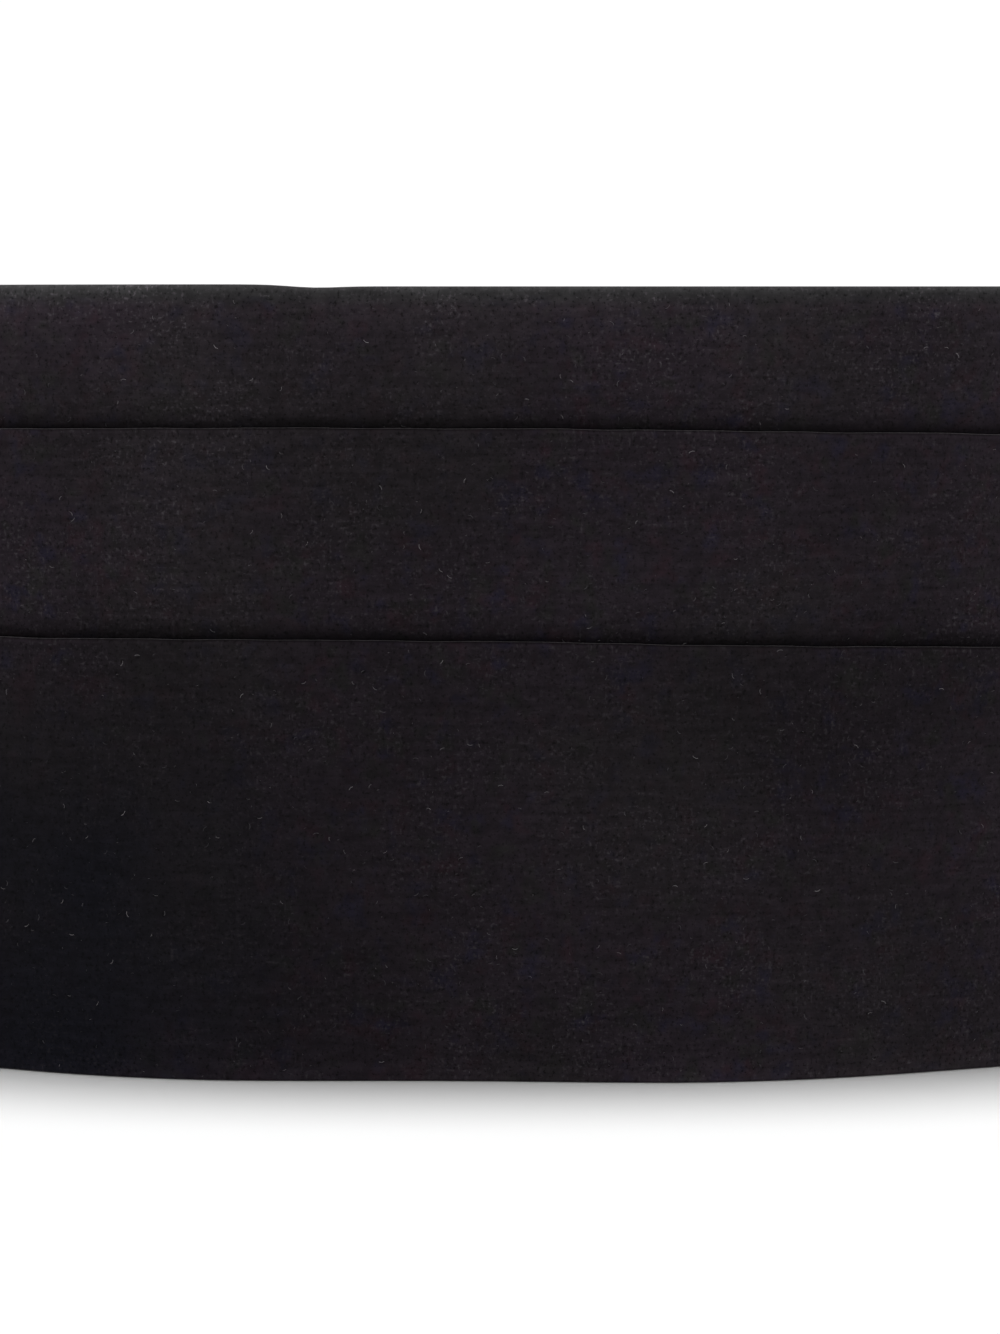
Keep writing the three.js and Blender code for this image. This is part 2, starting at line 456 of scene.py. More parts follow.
@dataclass(frozen=True)
class Finish:
    """A procedural finish. Each kind writes the nodes of its own colour, roughness and bump.

    A scale is per metre. A noise is given as its scale, its detail and, if need be, its roughness. A
    span is given as the low and the high end of a number, and what comes out at each.
    """

    name: str
    roughness: float = 0.9
    sheen: float = 0.0
    sheen_spread: float = 0.4
    sheen_tint: Colour = (1.0, 0.9, 1.0)
    specular: float = 0.3

    def build(self) -> bpy.types.Material:
        """Makes the material.

        Returns:
            The material, with the finish's whole-surface values on the shader's own sockets.
        """
        material, graph = new_material(self.name)
        values = {
            "Roughness": self.roughness,
            "Specular IOR Level": self.specular,
            "Sheen Weight": self.sheen,
            "Sheen Roughness": self.sheen_spread,
            "Sheen Tint": (*self.sheen_tint, 1),
        }
        shader = graph.add("ShaderNodeBsdfPrincipled", values)
        self.write(graph, shader)
        graph.add("ShaderNodeOutputMaterial", {"Surface": shader.outputs[0]})
        return material

    def write(self, graph: Graph, shader: Node) -> None:
        """Writes what varies over the surface. Each kind of finish has its own."""
        raise NotImplementedError


# Its colour also holds painted light and shade: up the band, low on the left and in the folds.
@dataclass(frozen=True)
class WoolCloth(Finish):
    """Fine black wool-like cloth: a close weave with lighter fibres, dark pits and a mottled tint."""

    name: str = "fine_black_wool"
    sheen: float = 0.3
    sheen_spread: float = 0.28
    sheen_tint: Colour = (1.0, 0.91, 0.965)
    specular: float = 0.08
    weave_pitch: float = 0.46 * MM
    weave_scales: tuple[tuple[float, float], ...] = ((0.9, 0.3), (0.3, 0.9), (0.72, 0.72))
    weave_noise: tuple[float, float, float] = (1.0, 2.0, 0.6)
    pit_span: Span = (0.27, 0.42, 0.42, 1.0)
    fleck_span: Span = (0.31, 0.48, 0.0, 1.0)
    # Fewer pale flecks show in the painted shade low on the left.
    fleck_fading: Span = (0.0, 1.0, 1.0, 0.6)
    cover_noise: tuple[float, float, float] = (62.0, 5.0, 0.68)
    cover_span: Span = (0.4, 0.66, 0.18, 1.0)
    line_scale: tuple[float, float] = (70.0, 900.0)
    line_span: Span = (0.3, 0.7, 0.9, 1.1)
    blot_scale: tuple[float, float] = (430.0, 560.0)
    blot_span: Span = (0.3, 0.7, 0.84, 1.16)
    ground: Colour = (0.0108, 0.0081, 0.0107)
    tint_noise: tuple[float, float] = (210.0, 3.5)
    red: Colour = (0.0130, 0.0077, 0.0104)
    red_span: Span = (0.52, 0.72, 0.0, 1.0)
    blue: Colour = (0.0095, 0.0078, 0.0137)
    blue_span: Span = (0.53, 0.72, 0.0, 1.0)
    green: Colour = (0.0099, 0.0088, 0.0093)
    green_span: Span = (0.53, 0.74, 0.0, 1.0)
    broad_noise: tuple[float, float] = (22.0, 3.0)
    cloud_span: Span = (0.3, 0.7, 0.86, 1.14)
    grey: Colour = (0.0102, 0.0089, 0.0095)
    grey_span: Span = (0.42, 0.62, 0.0, 0.55)
    # Cool tint of the painted shade low on the left.
    dusk: Colour = (0.0079, 0.0078, 0.0121)
    dusk_power: float = 2.0
    dusk_span: Span = (0.35, 0.6, 1.0, 0.35)
    # Greyer tint that gives the highlight on the upper edge its colour.
    rim: Colour = (0.0097, 0.0095, 0.0098)
    rim_span: Span = (0.1262, 0.1292, 0.0, 1.0)
    fibre: Colour = (0.026, 0.023, 0.026)
    # Painted light up the band: pairs of height share and factor, then the factor's scale.
    fading: tuple[tuple[float, float], ...] = (
        (0.0, 0.8), (0.03, 0.55), (0.08, 0.455), (0.2, 0.4), (0.32, 0.4),
        (0.45, 0.36), (0.53, 0.36), (0.6, 0.43), (0.8, 0.47), (0.87, 0.5),
        (0.92, 0.56), (0.96, 0.64), (0.98, 0.78), (0.992, 0.98), (1.0, 1.15),
    )
    fading_scale: float = 2.5
    height: float = 130 * MM
    # A painted shade low on the left, a painted slant of light across and a painted glow near the sides.
    low_span: Span = (0.035, 0.085, 1.0, 0.0)
    left_span: Span = (-0.075, 0.0, 1.0, 0.0)
    back_span: Span = (-0.135, -0.09, 0.0, 1.0)
    dark_depth: float = 0.36
    slant_span: Span = (-0.09, 0.09, 0.16, -0.10)
    rub_start: Span = (0.066, 0.085, 0.0, 0.22)
    rub_end: Span = (0.09, 0.13, 1.0, 0.0)
    grain_relief: float = 1.5
    relief_strength: float = 0.6
    relief: float = 0.05 * MM

    def noise(self, graph: Graph, cloth: Socket, scale: tuple[float, float]) -> Socket:
        """Noise that can be drawn out along the threads.

        Args:
            graph: The material's tree.
            cloth: The socket of the place on the cloth, in metres.
            scale: How fine it is along the band and up it, per metre.

        Returns:
            The noise's socket.
        """
        stretched = graph.vector("MULTIPLY", cloth, (*scale, 1))
        return graph.noise(stretched, *self.weave_noise, noise_dimensions="2D")

    def faded(self, graph: Graph, place: Socket) -> tuple[Socket, Socket]:
        """Painted light and shade: lightest on the upper edge, lighter at the lower one, shaded low on the
        left.

        Args:
            graph: The material's tree.
            place: The socket of the place in space.

        Returns:
            The sockets of the factor, and of how far a place belongs to the painted shade low on the left.
        """
        x, _, z = graph.split(place)
        # Painted light over the height: lighter at the upper edge, which faces the light, and at the lower
        # edge.
        ramp = graph.add("ShaderNodeValToRGB", {0: graph.math("DIVIDE", z, self.height)})
        stops = ramp.color_ramp.elements
        for position, _ in self.fading[1:-1]:
            stops.new(position)
        for stop, (_, value) in zip(stops, self.fading):
            stop.color = (value, value, value, 1)
        # Painted shade low on the left.
        low = graph.rescale(z, *self.low_span)
        dark = graph.product(low, graph.rescale(x, *self.left_span), graph.rescale(x, *self.back_span))
        kept = graph.math("SUBTRACT", 1.0, graph.math("MULTIPLY", dark, self.dark_depth))
        # A painted slant of light across the front, above the low patch.
        slant = graph.product(graph.rescale(x, *self.slant_span), graph.math("SUBTRACT", 1.0, low))
        # A painted glow near the sides of the front, outside the painted shade.
        away = graph.math("ABSOLUTE", x)
        start, end = graph.rescale(away, *self.rub_start), graph.rescale(away, *self.rub_end)
        painted_glow = graph.product(start, end, graph.math("SUBTRACT", 1.0, dark))
        sideways = graph.math("ADD", graph.math("ADD", 1.0, slant), painted_glow)
        return graph.product(ramp.outputs[0], self.fading_scale, kept, sideways), dark

    def tinted(self, graph: Graph, place: Socket, shade_patch: Socket, cloud: Socket, drift: Socket) -> Socket:
        """The mottled ground colour, cooler in the painted shade and greyer on the lit upper edge.

        Args:
            graph: The material's tree.
            place: The socket of the place in space.
            shade_patch: The socket of how far a place belongs to the painted shade low on the left.
            cloud: The socket of a broad noise.
            drift: The socket of another.

        Returns:
            The colour's socket.
        """
        ground = self.ground
        spans = self.red_span, self.blue_span, self.green_span
        patches = graph.three_noises(place, *self.tint_noise)
        for patch, span, colour in zip(patches, spans, (self.red, self.blue, self.green)):
            ground = graph.mixed(graph.rescale(patch, *span), ground, colour)
        ground = graph.mixed(graph.rescale(drift, *self.grey_span), ground, self.grey)
        # The painted shade low on the left takes a cooler tint.
        darkest = graph.math("POWER", shade_patch, self.dusk_power)
        ground = graph.mixed(graph.product(darkest, graph.rescale(cloud, *self.dusk_span)), ground, self.dusk)
        # A greyer tint on the upper edge, for the colour of its highlight.
        return graph.mixed(graph.rescale(graph.split(place)[2], *self.rim_span), ground, self.rim)

    def write(self, graph: Graph, shader: Node) -> None:
        """Writes the weave, the fibres, the tint and the painted light and shade, also in the folds.

        Args:
            graph: The material's tree.
            shader: The shader that it feeds.
        """
        cloth = graph.out("ShaderNodeUVMap", uv_map=CLOTH_MAP)
        place = graph.place()
        fine = 1 / self.weave_pitch
        scales = [(along * fine, up * fine) for along, up in self.weave_scales]
        warp, weft, grain = [self.noise(graph, cloth, scale) for scale in scales]
        thread = graph.math("MAXIMUM", warp, weft)
        # Painted light and shade, and the patch of painted shade low on the left.
        faded, shade_patch = self.faded(graph, place)
        cloud, drift, _ = graph.three_noises(place, *self.broad_noise)
        ground = self.tinted(graph, place, shade_patch, cloud, drift)
        flecks = graph.rescale(graph.math("MULTIPLY", thread, grain), *self.fleck_span)
        fleck_fading = graph.rescale(shade_patch, *self.fleck_fading)
        cover = graph.rescale(graph.noise(place, *self.cover_noise), *self.cover_span)
        threads = graph.mixed(graph.product(flecks, fleck_fading, cover), ground, self.fibre)
        shade = graph.product(
            graph.rescale(grain, *self.pit_span),
            graph.rescale(cloud, *self.cloud_span),
            graph.rescale(self.noise(graph, cloth, self.line_scale), *self.line_span),
            graph.rescale(self.noise(graph, cloth, self.blot_scale), *self.blot_span),
            faded,
            # Painted shade in the folds' creases; below 0 a painted highlight on their edges.
            graph.math("SUBTRACT", 1.0, graph.attribute("nip")),
        )
        graph.feed(shader.inputs["Base Color"], graph.scaled(threads, shade))
        height = graph.math("ADD", thread, graph.math("MULTIPLY", grain, self.grain_relief))
        graph.bump(shader, height, self.relief_strength, self.relief)


@dataclass(frozen=True)
class RibbedWebbing(Finish):
    """Black webbing: glossy filling threads over the ribs, with fine threads between."""

    name: str = "black_ribbed_webbing"
    roughness: float = 0.58
    sheen: float = 0.08
    specular: float = 0.12
    colour: Colour = (0.0094, 0.0076, 0.0090)
    rib_pitch: float = 1.15 * MM
    rib_span: Span = (0.0, 0.8, 0.4, 1.1)
    thread_pitch: float = 0.34 * MM
    thread_span: Span = (-1.0, 1.0, 0.7, 1.1)
    thread_noise: tuple[float, float] = (900.0, 3.0)
    uneven_span: Span = (0.3, 0.7, 0.75, 1.25)
    gloss_span: Span = (0.3, 0.7, 0.48, 0.68)
    relief_strength: float = 0.5
    relief: float = 0.06 * MM

    def write(self, graph: Graph, shader: Node) -> None:
        """Writes the threads that run along the strap, and the shade between the ribs.

        Args:
            graph: The material's tree.
            shader: The shader that it feeds.
        """
        cloth = graph.out("ShaderNodeUVMap", uv_map=CLOTH_MAP)
        along, up, _ = graph.split(cloth)
        wave = graph.math("SINE", graph.math("MULTIPLY", up, TURN / self.thread_pitch))
        noise = graph.noise(cloth, *self.thread_noise, noise_dimensions="2D")
        rib_turn = graph.math("MULTIPLY", along, math.pi / self.rib_pitch)
        rib = graph.math("ABSOLUTE", graph.math("SINE", rib_turn))
        shade = graph.product(
            graph.rescale(wave, *self.thread_span),
            graph.rescale(noise, *self.uneven_span),
            graph.rescale(rib, *self.rib_span),
        )
        graph.feed(shader.inputs["Base Color"], graph.scaled(self.colour, shade))
        graph.feed(shader.inputs["Roughness"], graph.rescale(noise, *self.gloss_span))
        graph.bump(shader, graph.math("ADD", wave, noise), self.relief_strength, self.relief)


@dataclass(frozen=True)
class SewingThread(Finish):
    """Black polyester sewing thread, a little brighter than the cloth."""

    name: str = "black_sewing_thread"
    roughness: float = 0.45
    sheen: float = 0.2
    colour: Colour = (0.034, 0.034, 0.037)
    twist_noise: tuple[float, float] = (2600.0, 2.0)
    twist_span: Span = (0.3, 0.7, 0.7, 1.3)
    relief_strength: float = 0.4
    relief: float = 0.03 * MM

    def write(self, graph: Graph, shader: Node) -> None:
        """Writes a twist in the thread.

        Args:
            graph: The material's tree.
            shader: The shader that it feeds.
        """
        noise = graph.noise(graph.place(), *self.twist_noise)
        shade = graph.rescale(noise, *self.twist_span)
        graph.feed(shader.inputs["Base Color"], graph.scaled(self.colour, shade))
        graph.bump(shader, noise, self.relief_strength, self.relief)


@dataclass(frozen=True)
class LooseFibre(Finish):
    """Pale lint and wool hairs. Each fibre has a shade of its own, kept as an attribute."""

    name: str = "loose_fibre"
    roughness: float = 0.8
    dark: Colour = (0.03, 0.028, 0.032)
    pale: Colour = (0.24, 0.225, 0.235)

    def write(self, graph: Graph, shader: Node) -> None:
        """Writes each fibre's shade."""
        colour = graph.mixed(graph.attribute("shade"), self.dark, self.pale)
        graph.feed(shader.inputs["Base Color"], colour)


@dataclass(frozen=True)
class BlackEnamel(Finish):
    """Satin black enamel on cast metal, thinly worn."""

    name: str = "satin_black_enamel"
    roughness: float = 0.34
    specular: float = 0.5
    colour: Colour = (0.010, 0.010, 0.011)
    worn: Colour = (0.12, 0.12, 0.125)
    spot_noise: tuple[float, float] = (900.0, 4.0)
    scratch_scale: tuple[float, float, float] = (300.0, 300.0, 5200.0)
    scratch_noise: tuple[float, float] = (1.0, 3.0)
    wear_span: Span = (0.37, 0.46, 0.0, 0.8)
    gloss_span: Span = (0.3, 0.7, 0.26, 0.44)
    relief_strength: float = 0.15
    relief: float = 0.02 * MM

    def write(self, graph: Graph, shader: Node) -> None:
        """Writes fine scratches, worn spots and an uneven gloss.

        Args:
            graph: The material's tree.
            shader: The shader that it feeds.
        """
        place = graph.place()
        spots = graph.noise(place, *self.spot_noise)
        scratches = graph.noise(graph.vector("MULTIPLY", place, self.scratch_scale), *self.scratch_noise)
        wear = graph.rescale(graph.math("MULTIPLY", spots, scratches), *self.wear_span)
        graph.feed(shader.inputs["Base Color"], graph.mixed(wear, self.colour, self.worn))
        graph.feed(shader.inputs["Roughness"], graph.rescale(spots, *self.gloss_span))
        graph.bump(shader, scratches, self.relief_strength, self.relief)


# The waist loop and the plan of the band


@dataclass(frozen=True)
class WaistLoop:
    """The oval that the band is closed into, at its inner face."""

    middle_y: float
    width: float = 304 * MM
    depth: float = 222 * MM
    squareness: float = 2.2
    samples: int = 1440
    angles_per_sample: int = 8

    def points(self) -> np.ndarray:
        """Evenly spaced points, from the middle of the back round by the left.

        Returns:
            An array of samples + 1 places, the last on the first.
        """
        angle = np.linspace(-math.pi, math.pi, self.angles_per_sample * self.samples + 1)
        across = np.abs(np.sin(angle) / (self.width / 2)) ** self.squareness
        along = np.abs(np.cos(angle) / (self.depth / 2)) ** self.squareness
        radius = (across + along) ** (-1 / self.squareness)
        fine = np.stack([radius * np.sin(angle), -radius * np.cos(angle)], axis=1)
        steps = np.linalg.norm(np.diff(fine, axis=0), axis=1)
        travelled = np.concatenate([[0.0], np.cumsum(steps)])
        even = np.linspace(0.0, travelled[-1], self.samples + 1)
        x = np.interp(even, travelled, fine[:, 0])
        y = np.interp(even, travelled, fine[:, 1]) + self.middle_y
        return np.stack([x, y, np.zeros_like(x)], axis=1)

    @property
    def length(self) -> float:
        """How far it is round the loop."""
        return float(np.linalg.norm(np.diff(self.points(), axis=0), axis=1).sum())

    def curve(self) -> Piece:
        """The loop as a curve object that the pieces are wrapped round.

        Returns:
            The curve object, which isn't rendered.
        """
        data = bpy.data.curves.new("waist_loop", "CURVE")
        data.dimensions = "3D"
        spline = data.splines.new("POLY")
        places = self.points()
        spline.points.add(len(places) - 1)
        spline.points.foreach_set("co", np.hstack([places, np.ones((len(places), 1))]).ravel())
        return new_object("waist_loop", data)


@dataclass(frozen=True)
class BandPlan:
    """Sizes that more than one piece follows, and the places along the band that come from them."""

    loop_length: float
    front_height: float
    strap_middle: float
    end_height: float = 58 * MM
    stack: float = 3.6 * MM
    strap_width: float = 36 * MM
    strap_thickness: float = 1.6 * MM
    tab_cover: float = 20 * MM
    tab_reach: float = 24 * MM
    single_length: float = 46 * MM
    fold_back: float = 24 * MM
    lead_length: float = 14 * MM
    middle_bar: float = 4 * MM
    slot_width: float = 6 * MM
    bar_width: float = 3 * MM
    slide_thickness: float = 2 * MM
    clearance: float = 0.3 * MM
    top_taper_start: float = 0.3
    bottom_taper_start: float = 0.72
    taper_curve: float = 1.5

    @property
    def middle_out(self) -> float:
        """How far outwards from the loop the straps and the slide lie."""
        return self.stack / 2

    @property
    def bar_place(self) -> float:
        """Distance to the middle of the bar that a strap turns round."""
        return self.loop_length / 2 - self.middle_bar / 2 - self.slot_width - self.bar_width / 2

    @property
    def part_place(self) -> float:
        """Distance to where a strap's two plies part."""
        return self.bar_place - self.lead_length

    @property
    def fold_back_end(self) -> float:
        """Distance to the end of a strap's turned-back ply."""
        return self.part_place - self.fold_back

    @property
    def tab_end(self) -> float:
        """Distance to a tab's narrow end."""
        return self.fold_back_end - self.single_length

    @property
    def panel_end(self) -> float:
        """Distance to the pleated front's end, inside its tab."""
        return self.tab_end - self.tab_reach

    def edges(self, distance: Number) -> tuple[Number, Number]:
        """Heights of the panel's lower and upper edge.

        Args:
            distance: Distance to the right of the front's middle.

        Returns:
            The lower and the upper height.
        """
        share = np.abs(distance) / self.panel_end

        def taper(start: float) -> Number:
            """How far a taper that begins at a share of the half length has gone, from 0 to 1."""
            return np.maximum(0.0, (share - start) / (1 - start)) ** self.taper_curve

        low = (self.strap_middle - self.end_height / 2) * taper(self.bottom_taper_start)
        fall = self.front_height - self.strap_middle - self.end_height / 2
        return low, self.front_height - fall * taper(self.top_taper_start)


@dataclass(frozen=True)
class Wrapper:
    """Wraps a straight piece round the loop, with the soft ripples that all layers share."""

    ripple_height: float = 1.6 * MM
    ripple_length: float = 95 * MM
    ripple_place: float = 38 * MM
    ripple_fall: Span = (0.0, 0.13, 1.0, 0.35)
    unevenness: float = 0.5 * MM
    uneven_noise: tuple[float, float] = (26.0, 1.0)
    noise_middle: float = 0.5
    front_span: Span = (0.12, 0.27, 1.0, 0.0)

    def group(self) -> bpy.types.NodeTree:
        """Writes the group.

        Returns:
            The Geometry Nodes group, with inputs Geometry, Loop and Half Length.
        """
        graph = GeometryGraph("wrap_round_waist", LOOP_INPUTS)
        x, y, z = graph.split(graph.out("GeometryNodeInputPosition"))
        turn = graph.product(graph.math("SUBTRACT", x, self.ripple_place), TURN / self.ripple_length)
        wave = graph.math("MULTIPLY", graph.math("COSINE", turn), self.ripple_height)
        wave = graph.math("MULTIPLY", wave, graph.rescale(z, *self.ripple_fall))
        noise = graph.noise(graph.joined(x, 0.0, z), *self.uneven_noise)
        rough = graph.math("MULTIPLY", graph.math("SUBTRACT", noise, self.noise_middle), 2 * self.unevenness)
        near_front = graph.rescale(graph.math("ABSOLUTE", x), *self.front_span)
        soft = graph.math("MULTIPLY", graph.math("ADD", wave, rough), near_front)
        out = graph.math("SUBTRACT", soft, y)
        loop_curve = graph.add("GeometryNodeObjectInfo", {"Object": graph.given["Loop"]}).outputs["Geometry"]
        reached = {"Curves": loop_curve, "Length": graph.math("ADD", x, graph.given["Half Length"])}
        sample = graph.add("GeometryNodeSampleCurve", reached, mode="LENGTH")
        along_x, along_y, _ = graph.split(sample.outputs["Tangent"])
        outwards = graph.joined(along_y, graph.math("MULTIPLY", along_x, -1.0))
        foot = graph.vector("ADD", sample.outputs["Position"], graph.scaled(outwards, out))
        placed = graph.vector("ADD", foot, graph.joined(z=z))
        moved = {"Geometry": graph.given["Geometry"], "Position": placed}
        graph.feed(graph.result, graph.out("GeometryNodeSetPosition", moved))
        return graph.tree


@dataclass
class Workshop:
    """What every maker of a piece needs: the plan, the loop, the wrapping group and the materials."""

    plan: BandPlan
    loop: WaistLoop
    loop_curve: Piece
    wrap: bpy.types.NodeTree
    materials: dict[str, bpy.types.Material] = field(default_factory=dict)

    def dress(self, finish: Finish) -> bpy.types.Material:
        """Gives a finish's material, made the first time that it is asked for.

        Args:
            finish: The finish.

        Returns:
            The material.
        """
        if finish.name not in self.materials:
            self.materials[finish.name] = finish.build()
        return self.materials[finish.name]

    def wrapped(self, graph: GeometryGraph, geometry: Socket) -> Socket:
        """Adds the wrapping group inside another group.

        Args:
            graph: The group that is being written, with inputs Loop and Half Length.
            geometry: The straight geometry.

        Returns:
            The wrapped geometry's socket.
        """
        node = graph.add("GeometryNodeGroup", node_tree=self.wrap)
        graph.feed(node.inputs["Geometry"], geometry)
        for label in LOOP_INPUTS:
            graph.feed(node.inputs[label], graph.given[label])
        return node.outputs["Geometry"]

    def wrap_cloth(self, start: Piece, name: str) -> Piece:
        """Wraps a straight piece of the cloth round the waist.

        Args:
            start: The straight piece, which is used up.
            name: The finished piece's name.

        Returns:
            The wrapped piece.
        """
        graph = GeometryGraph(f"wrap_{name}", {**LOOP_INPUTS, "Finish": "Material"})
        graph.finish(self.wrapped(graph, graph.given["Geometry"]))
        return graph.run(start, name, Finish=self.dress(WoolCloth()), **self.around)

    @property
    def around(self) -> dict[str, object]:
        """The inputs that every wrapped piece gives to its group."""
        return {"Loop": self.loop_curve, "Half_Length": self.loop.length / 2}


# Pleated front


@dataclass(frozen=True)
class Fold:
    """A pleat's edge, in shares of the panel's height."""

    edge: float
    fall: float
    sag: float

    def height(self, share: np.ndarray, low: np.ndarray, high: np.ndarray) -> np.ndarray:
        """Where the edge lies.

        Args:
            share: Distance to the right of the middle, as a share of the half length.
            low: The panel's lower edge there.
            high: The panel's upper edge there.

        Returns:
            The edge's height at each place.
        """
        drop = (self.fall * share + self.sag * share**2) * (1 - share**2)
        return low + (high - low) * (self.edge - drop)


class ClothLine:
    """Middle line of a folded cloth in upright sections, each point known at all stations at once.

    A point's painted shade darkens the cloth's colour by that share, up to 1, in the crease of a fold
    where shade falls. Below 0 it is a painted highlight on the lower part of a fold's edge.
    """

    RUN_FADE = 1.2
    TURN_SHARES = (0.0, 0.125, 0.25, 0.375, 0.5)
    # Painted shade over a fold's arc, as shares of its end value; below 0 it is a painted highlight.
    TURN_NIPS = (0.0, -0.27, -0.12, 0.7, 1.0)

    def __init__(self, count: int) -> None:
        """Starts an empty line.

        Args:
            count: How many stations there are along the band.
        """
        self.count = count
        self.points: list[np.ndarray] = []
        self.shows: list[bool] = []
        self.nips: list[float] = []

    def put(self, out: Number, height: Number, shows: bool = False, nip: float = 0.0) -> None:
        """Adds one point.

        Args:
            out: Distance outwards from the loop.
            height: Height above the table.
            shows: Whether the cloth's outer face is seen there.
            nip: The point's painted shade, or painted highlight below 0.
        """
        place = [np.broadcast_to(value, self.count) for value in (out, height)]
        self.points.append(np.stack(place, axis=1))
        self.shows.append(shows)
        self.nips.append(nip)

    def run(self, out: Number, height: Number, steps: int, shows: bool = False, nip: float = 0.0) -> None:
        """Goes on to a point, easing from one layer to the next.

        Args:
            out: Distance outwards of the last point.
            height: Height of the last point.
            steps: How many points to add.
            shows: Whether the cloth's outer face is seen there.
            nip: The painted shade at its start. It dies away to nothing at its end.
        """
        start_out, start_height = self.points[-1].T
        for step in range(1, steps + 1):
            share = step / steps
            new_out = start_out + (out - start_out) * eased(share)
            new_height = start_height + (height - start_height) * share
            self.put(new_out, new_height, shows, nip * (1 - share) ** self.RUN_FADE)

    def turn(
        self,
        centre: tuple[Number, Number],
        radius: float,
        sweep: float,
        steps: int,
        start: float = 0.0,
        shows: bool = False,
        nip: float = 0.0,
    ) -> None:
        """Goes round an arc that starts at the last point.

        Args:
            centre: The centre's distance outwards and its height.
            radius: The arc's radius.
            sweep: The angle that it turns through.
            steps: How many steps it has.
            start: Its first angle, from the way outwards, anticlockwise.
            shows: Whether the cloth's outer face is seen there.
            nip: The painted shade at its end. Lower on the arc it is a painted highlight.
        """
        out, height = centre
        for step in range(1, steps + 1):
            share = step / steps
            angle = start + sweep * share
            place = out + radius * math.cos(angle), height + radius * math.sin(angle)
            self.put(*place, shows, nip * float(np.interp(share, self.TURN_SHARES, self.TURN_NIPS)))

    def outline(self, thickness: float) -> np.ndarray:
        """Both faces of the cloth, with mitred corners.

        Args:
            thickness: The cloth's thickness.

        Returns:
            Array of 2 (the right-hand and the left-hand face), points, stations, and out and height.
        """
        line = np.stack(self.points)
        steps = np.diff(line, axis=0)
        steps /= np.linalg.norm(steps, axis=2, keepdims=True)
        into = np.concatenate([steps[:1], steps])
        away = np.concatenate([steps, steps[-1:]])
        along = into + away
        along /= np.linalg.norm(along, axis=2, keepdims=True)
        reach = thickness / 2 / (along * into).sum(axis=2, keepdims=True)
        aside = np.stack([along[..., 1], -along[..., 0]], axis=2) * reach
        return np.stack([line + aside, line - aside])

    def lengths(self) -> np.ndarray:
        """Distance along the cloth to each point, as an array of points and stations."""
        steps = np.linalg.norm(np.diff(np.stack(self.points), axis=0), axis=2)
        return np.concatenate([np.zeros((1, self.count)), np.cumsum(steps, axis=0)])


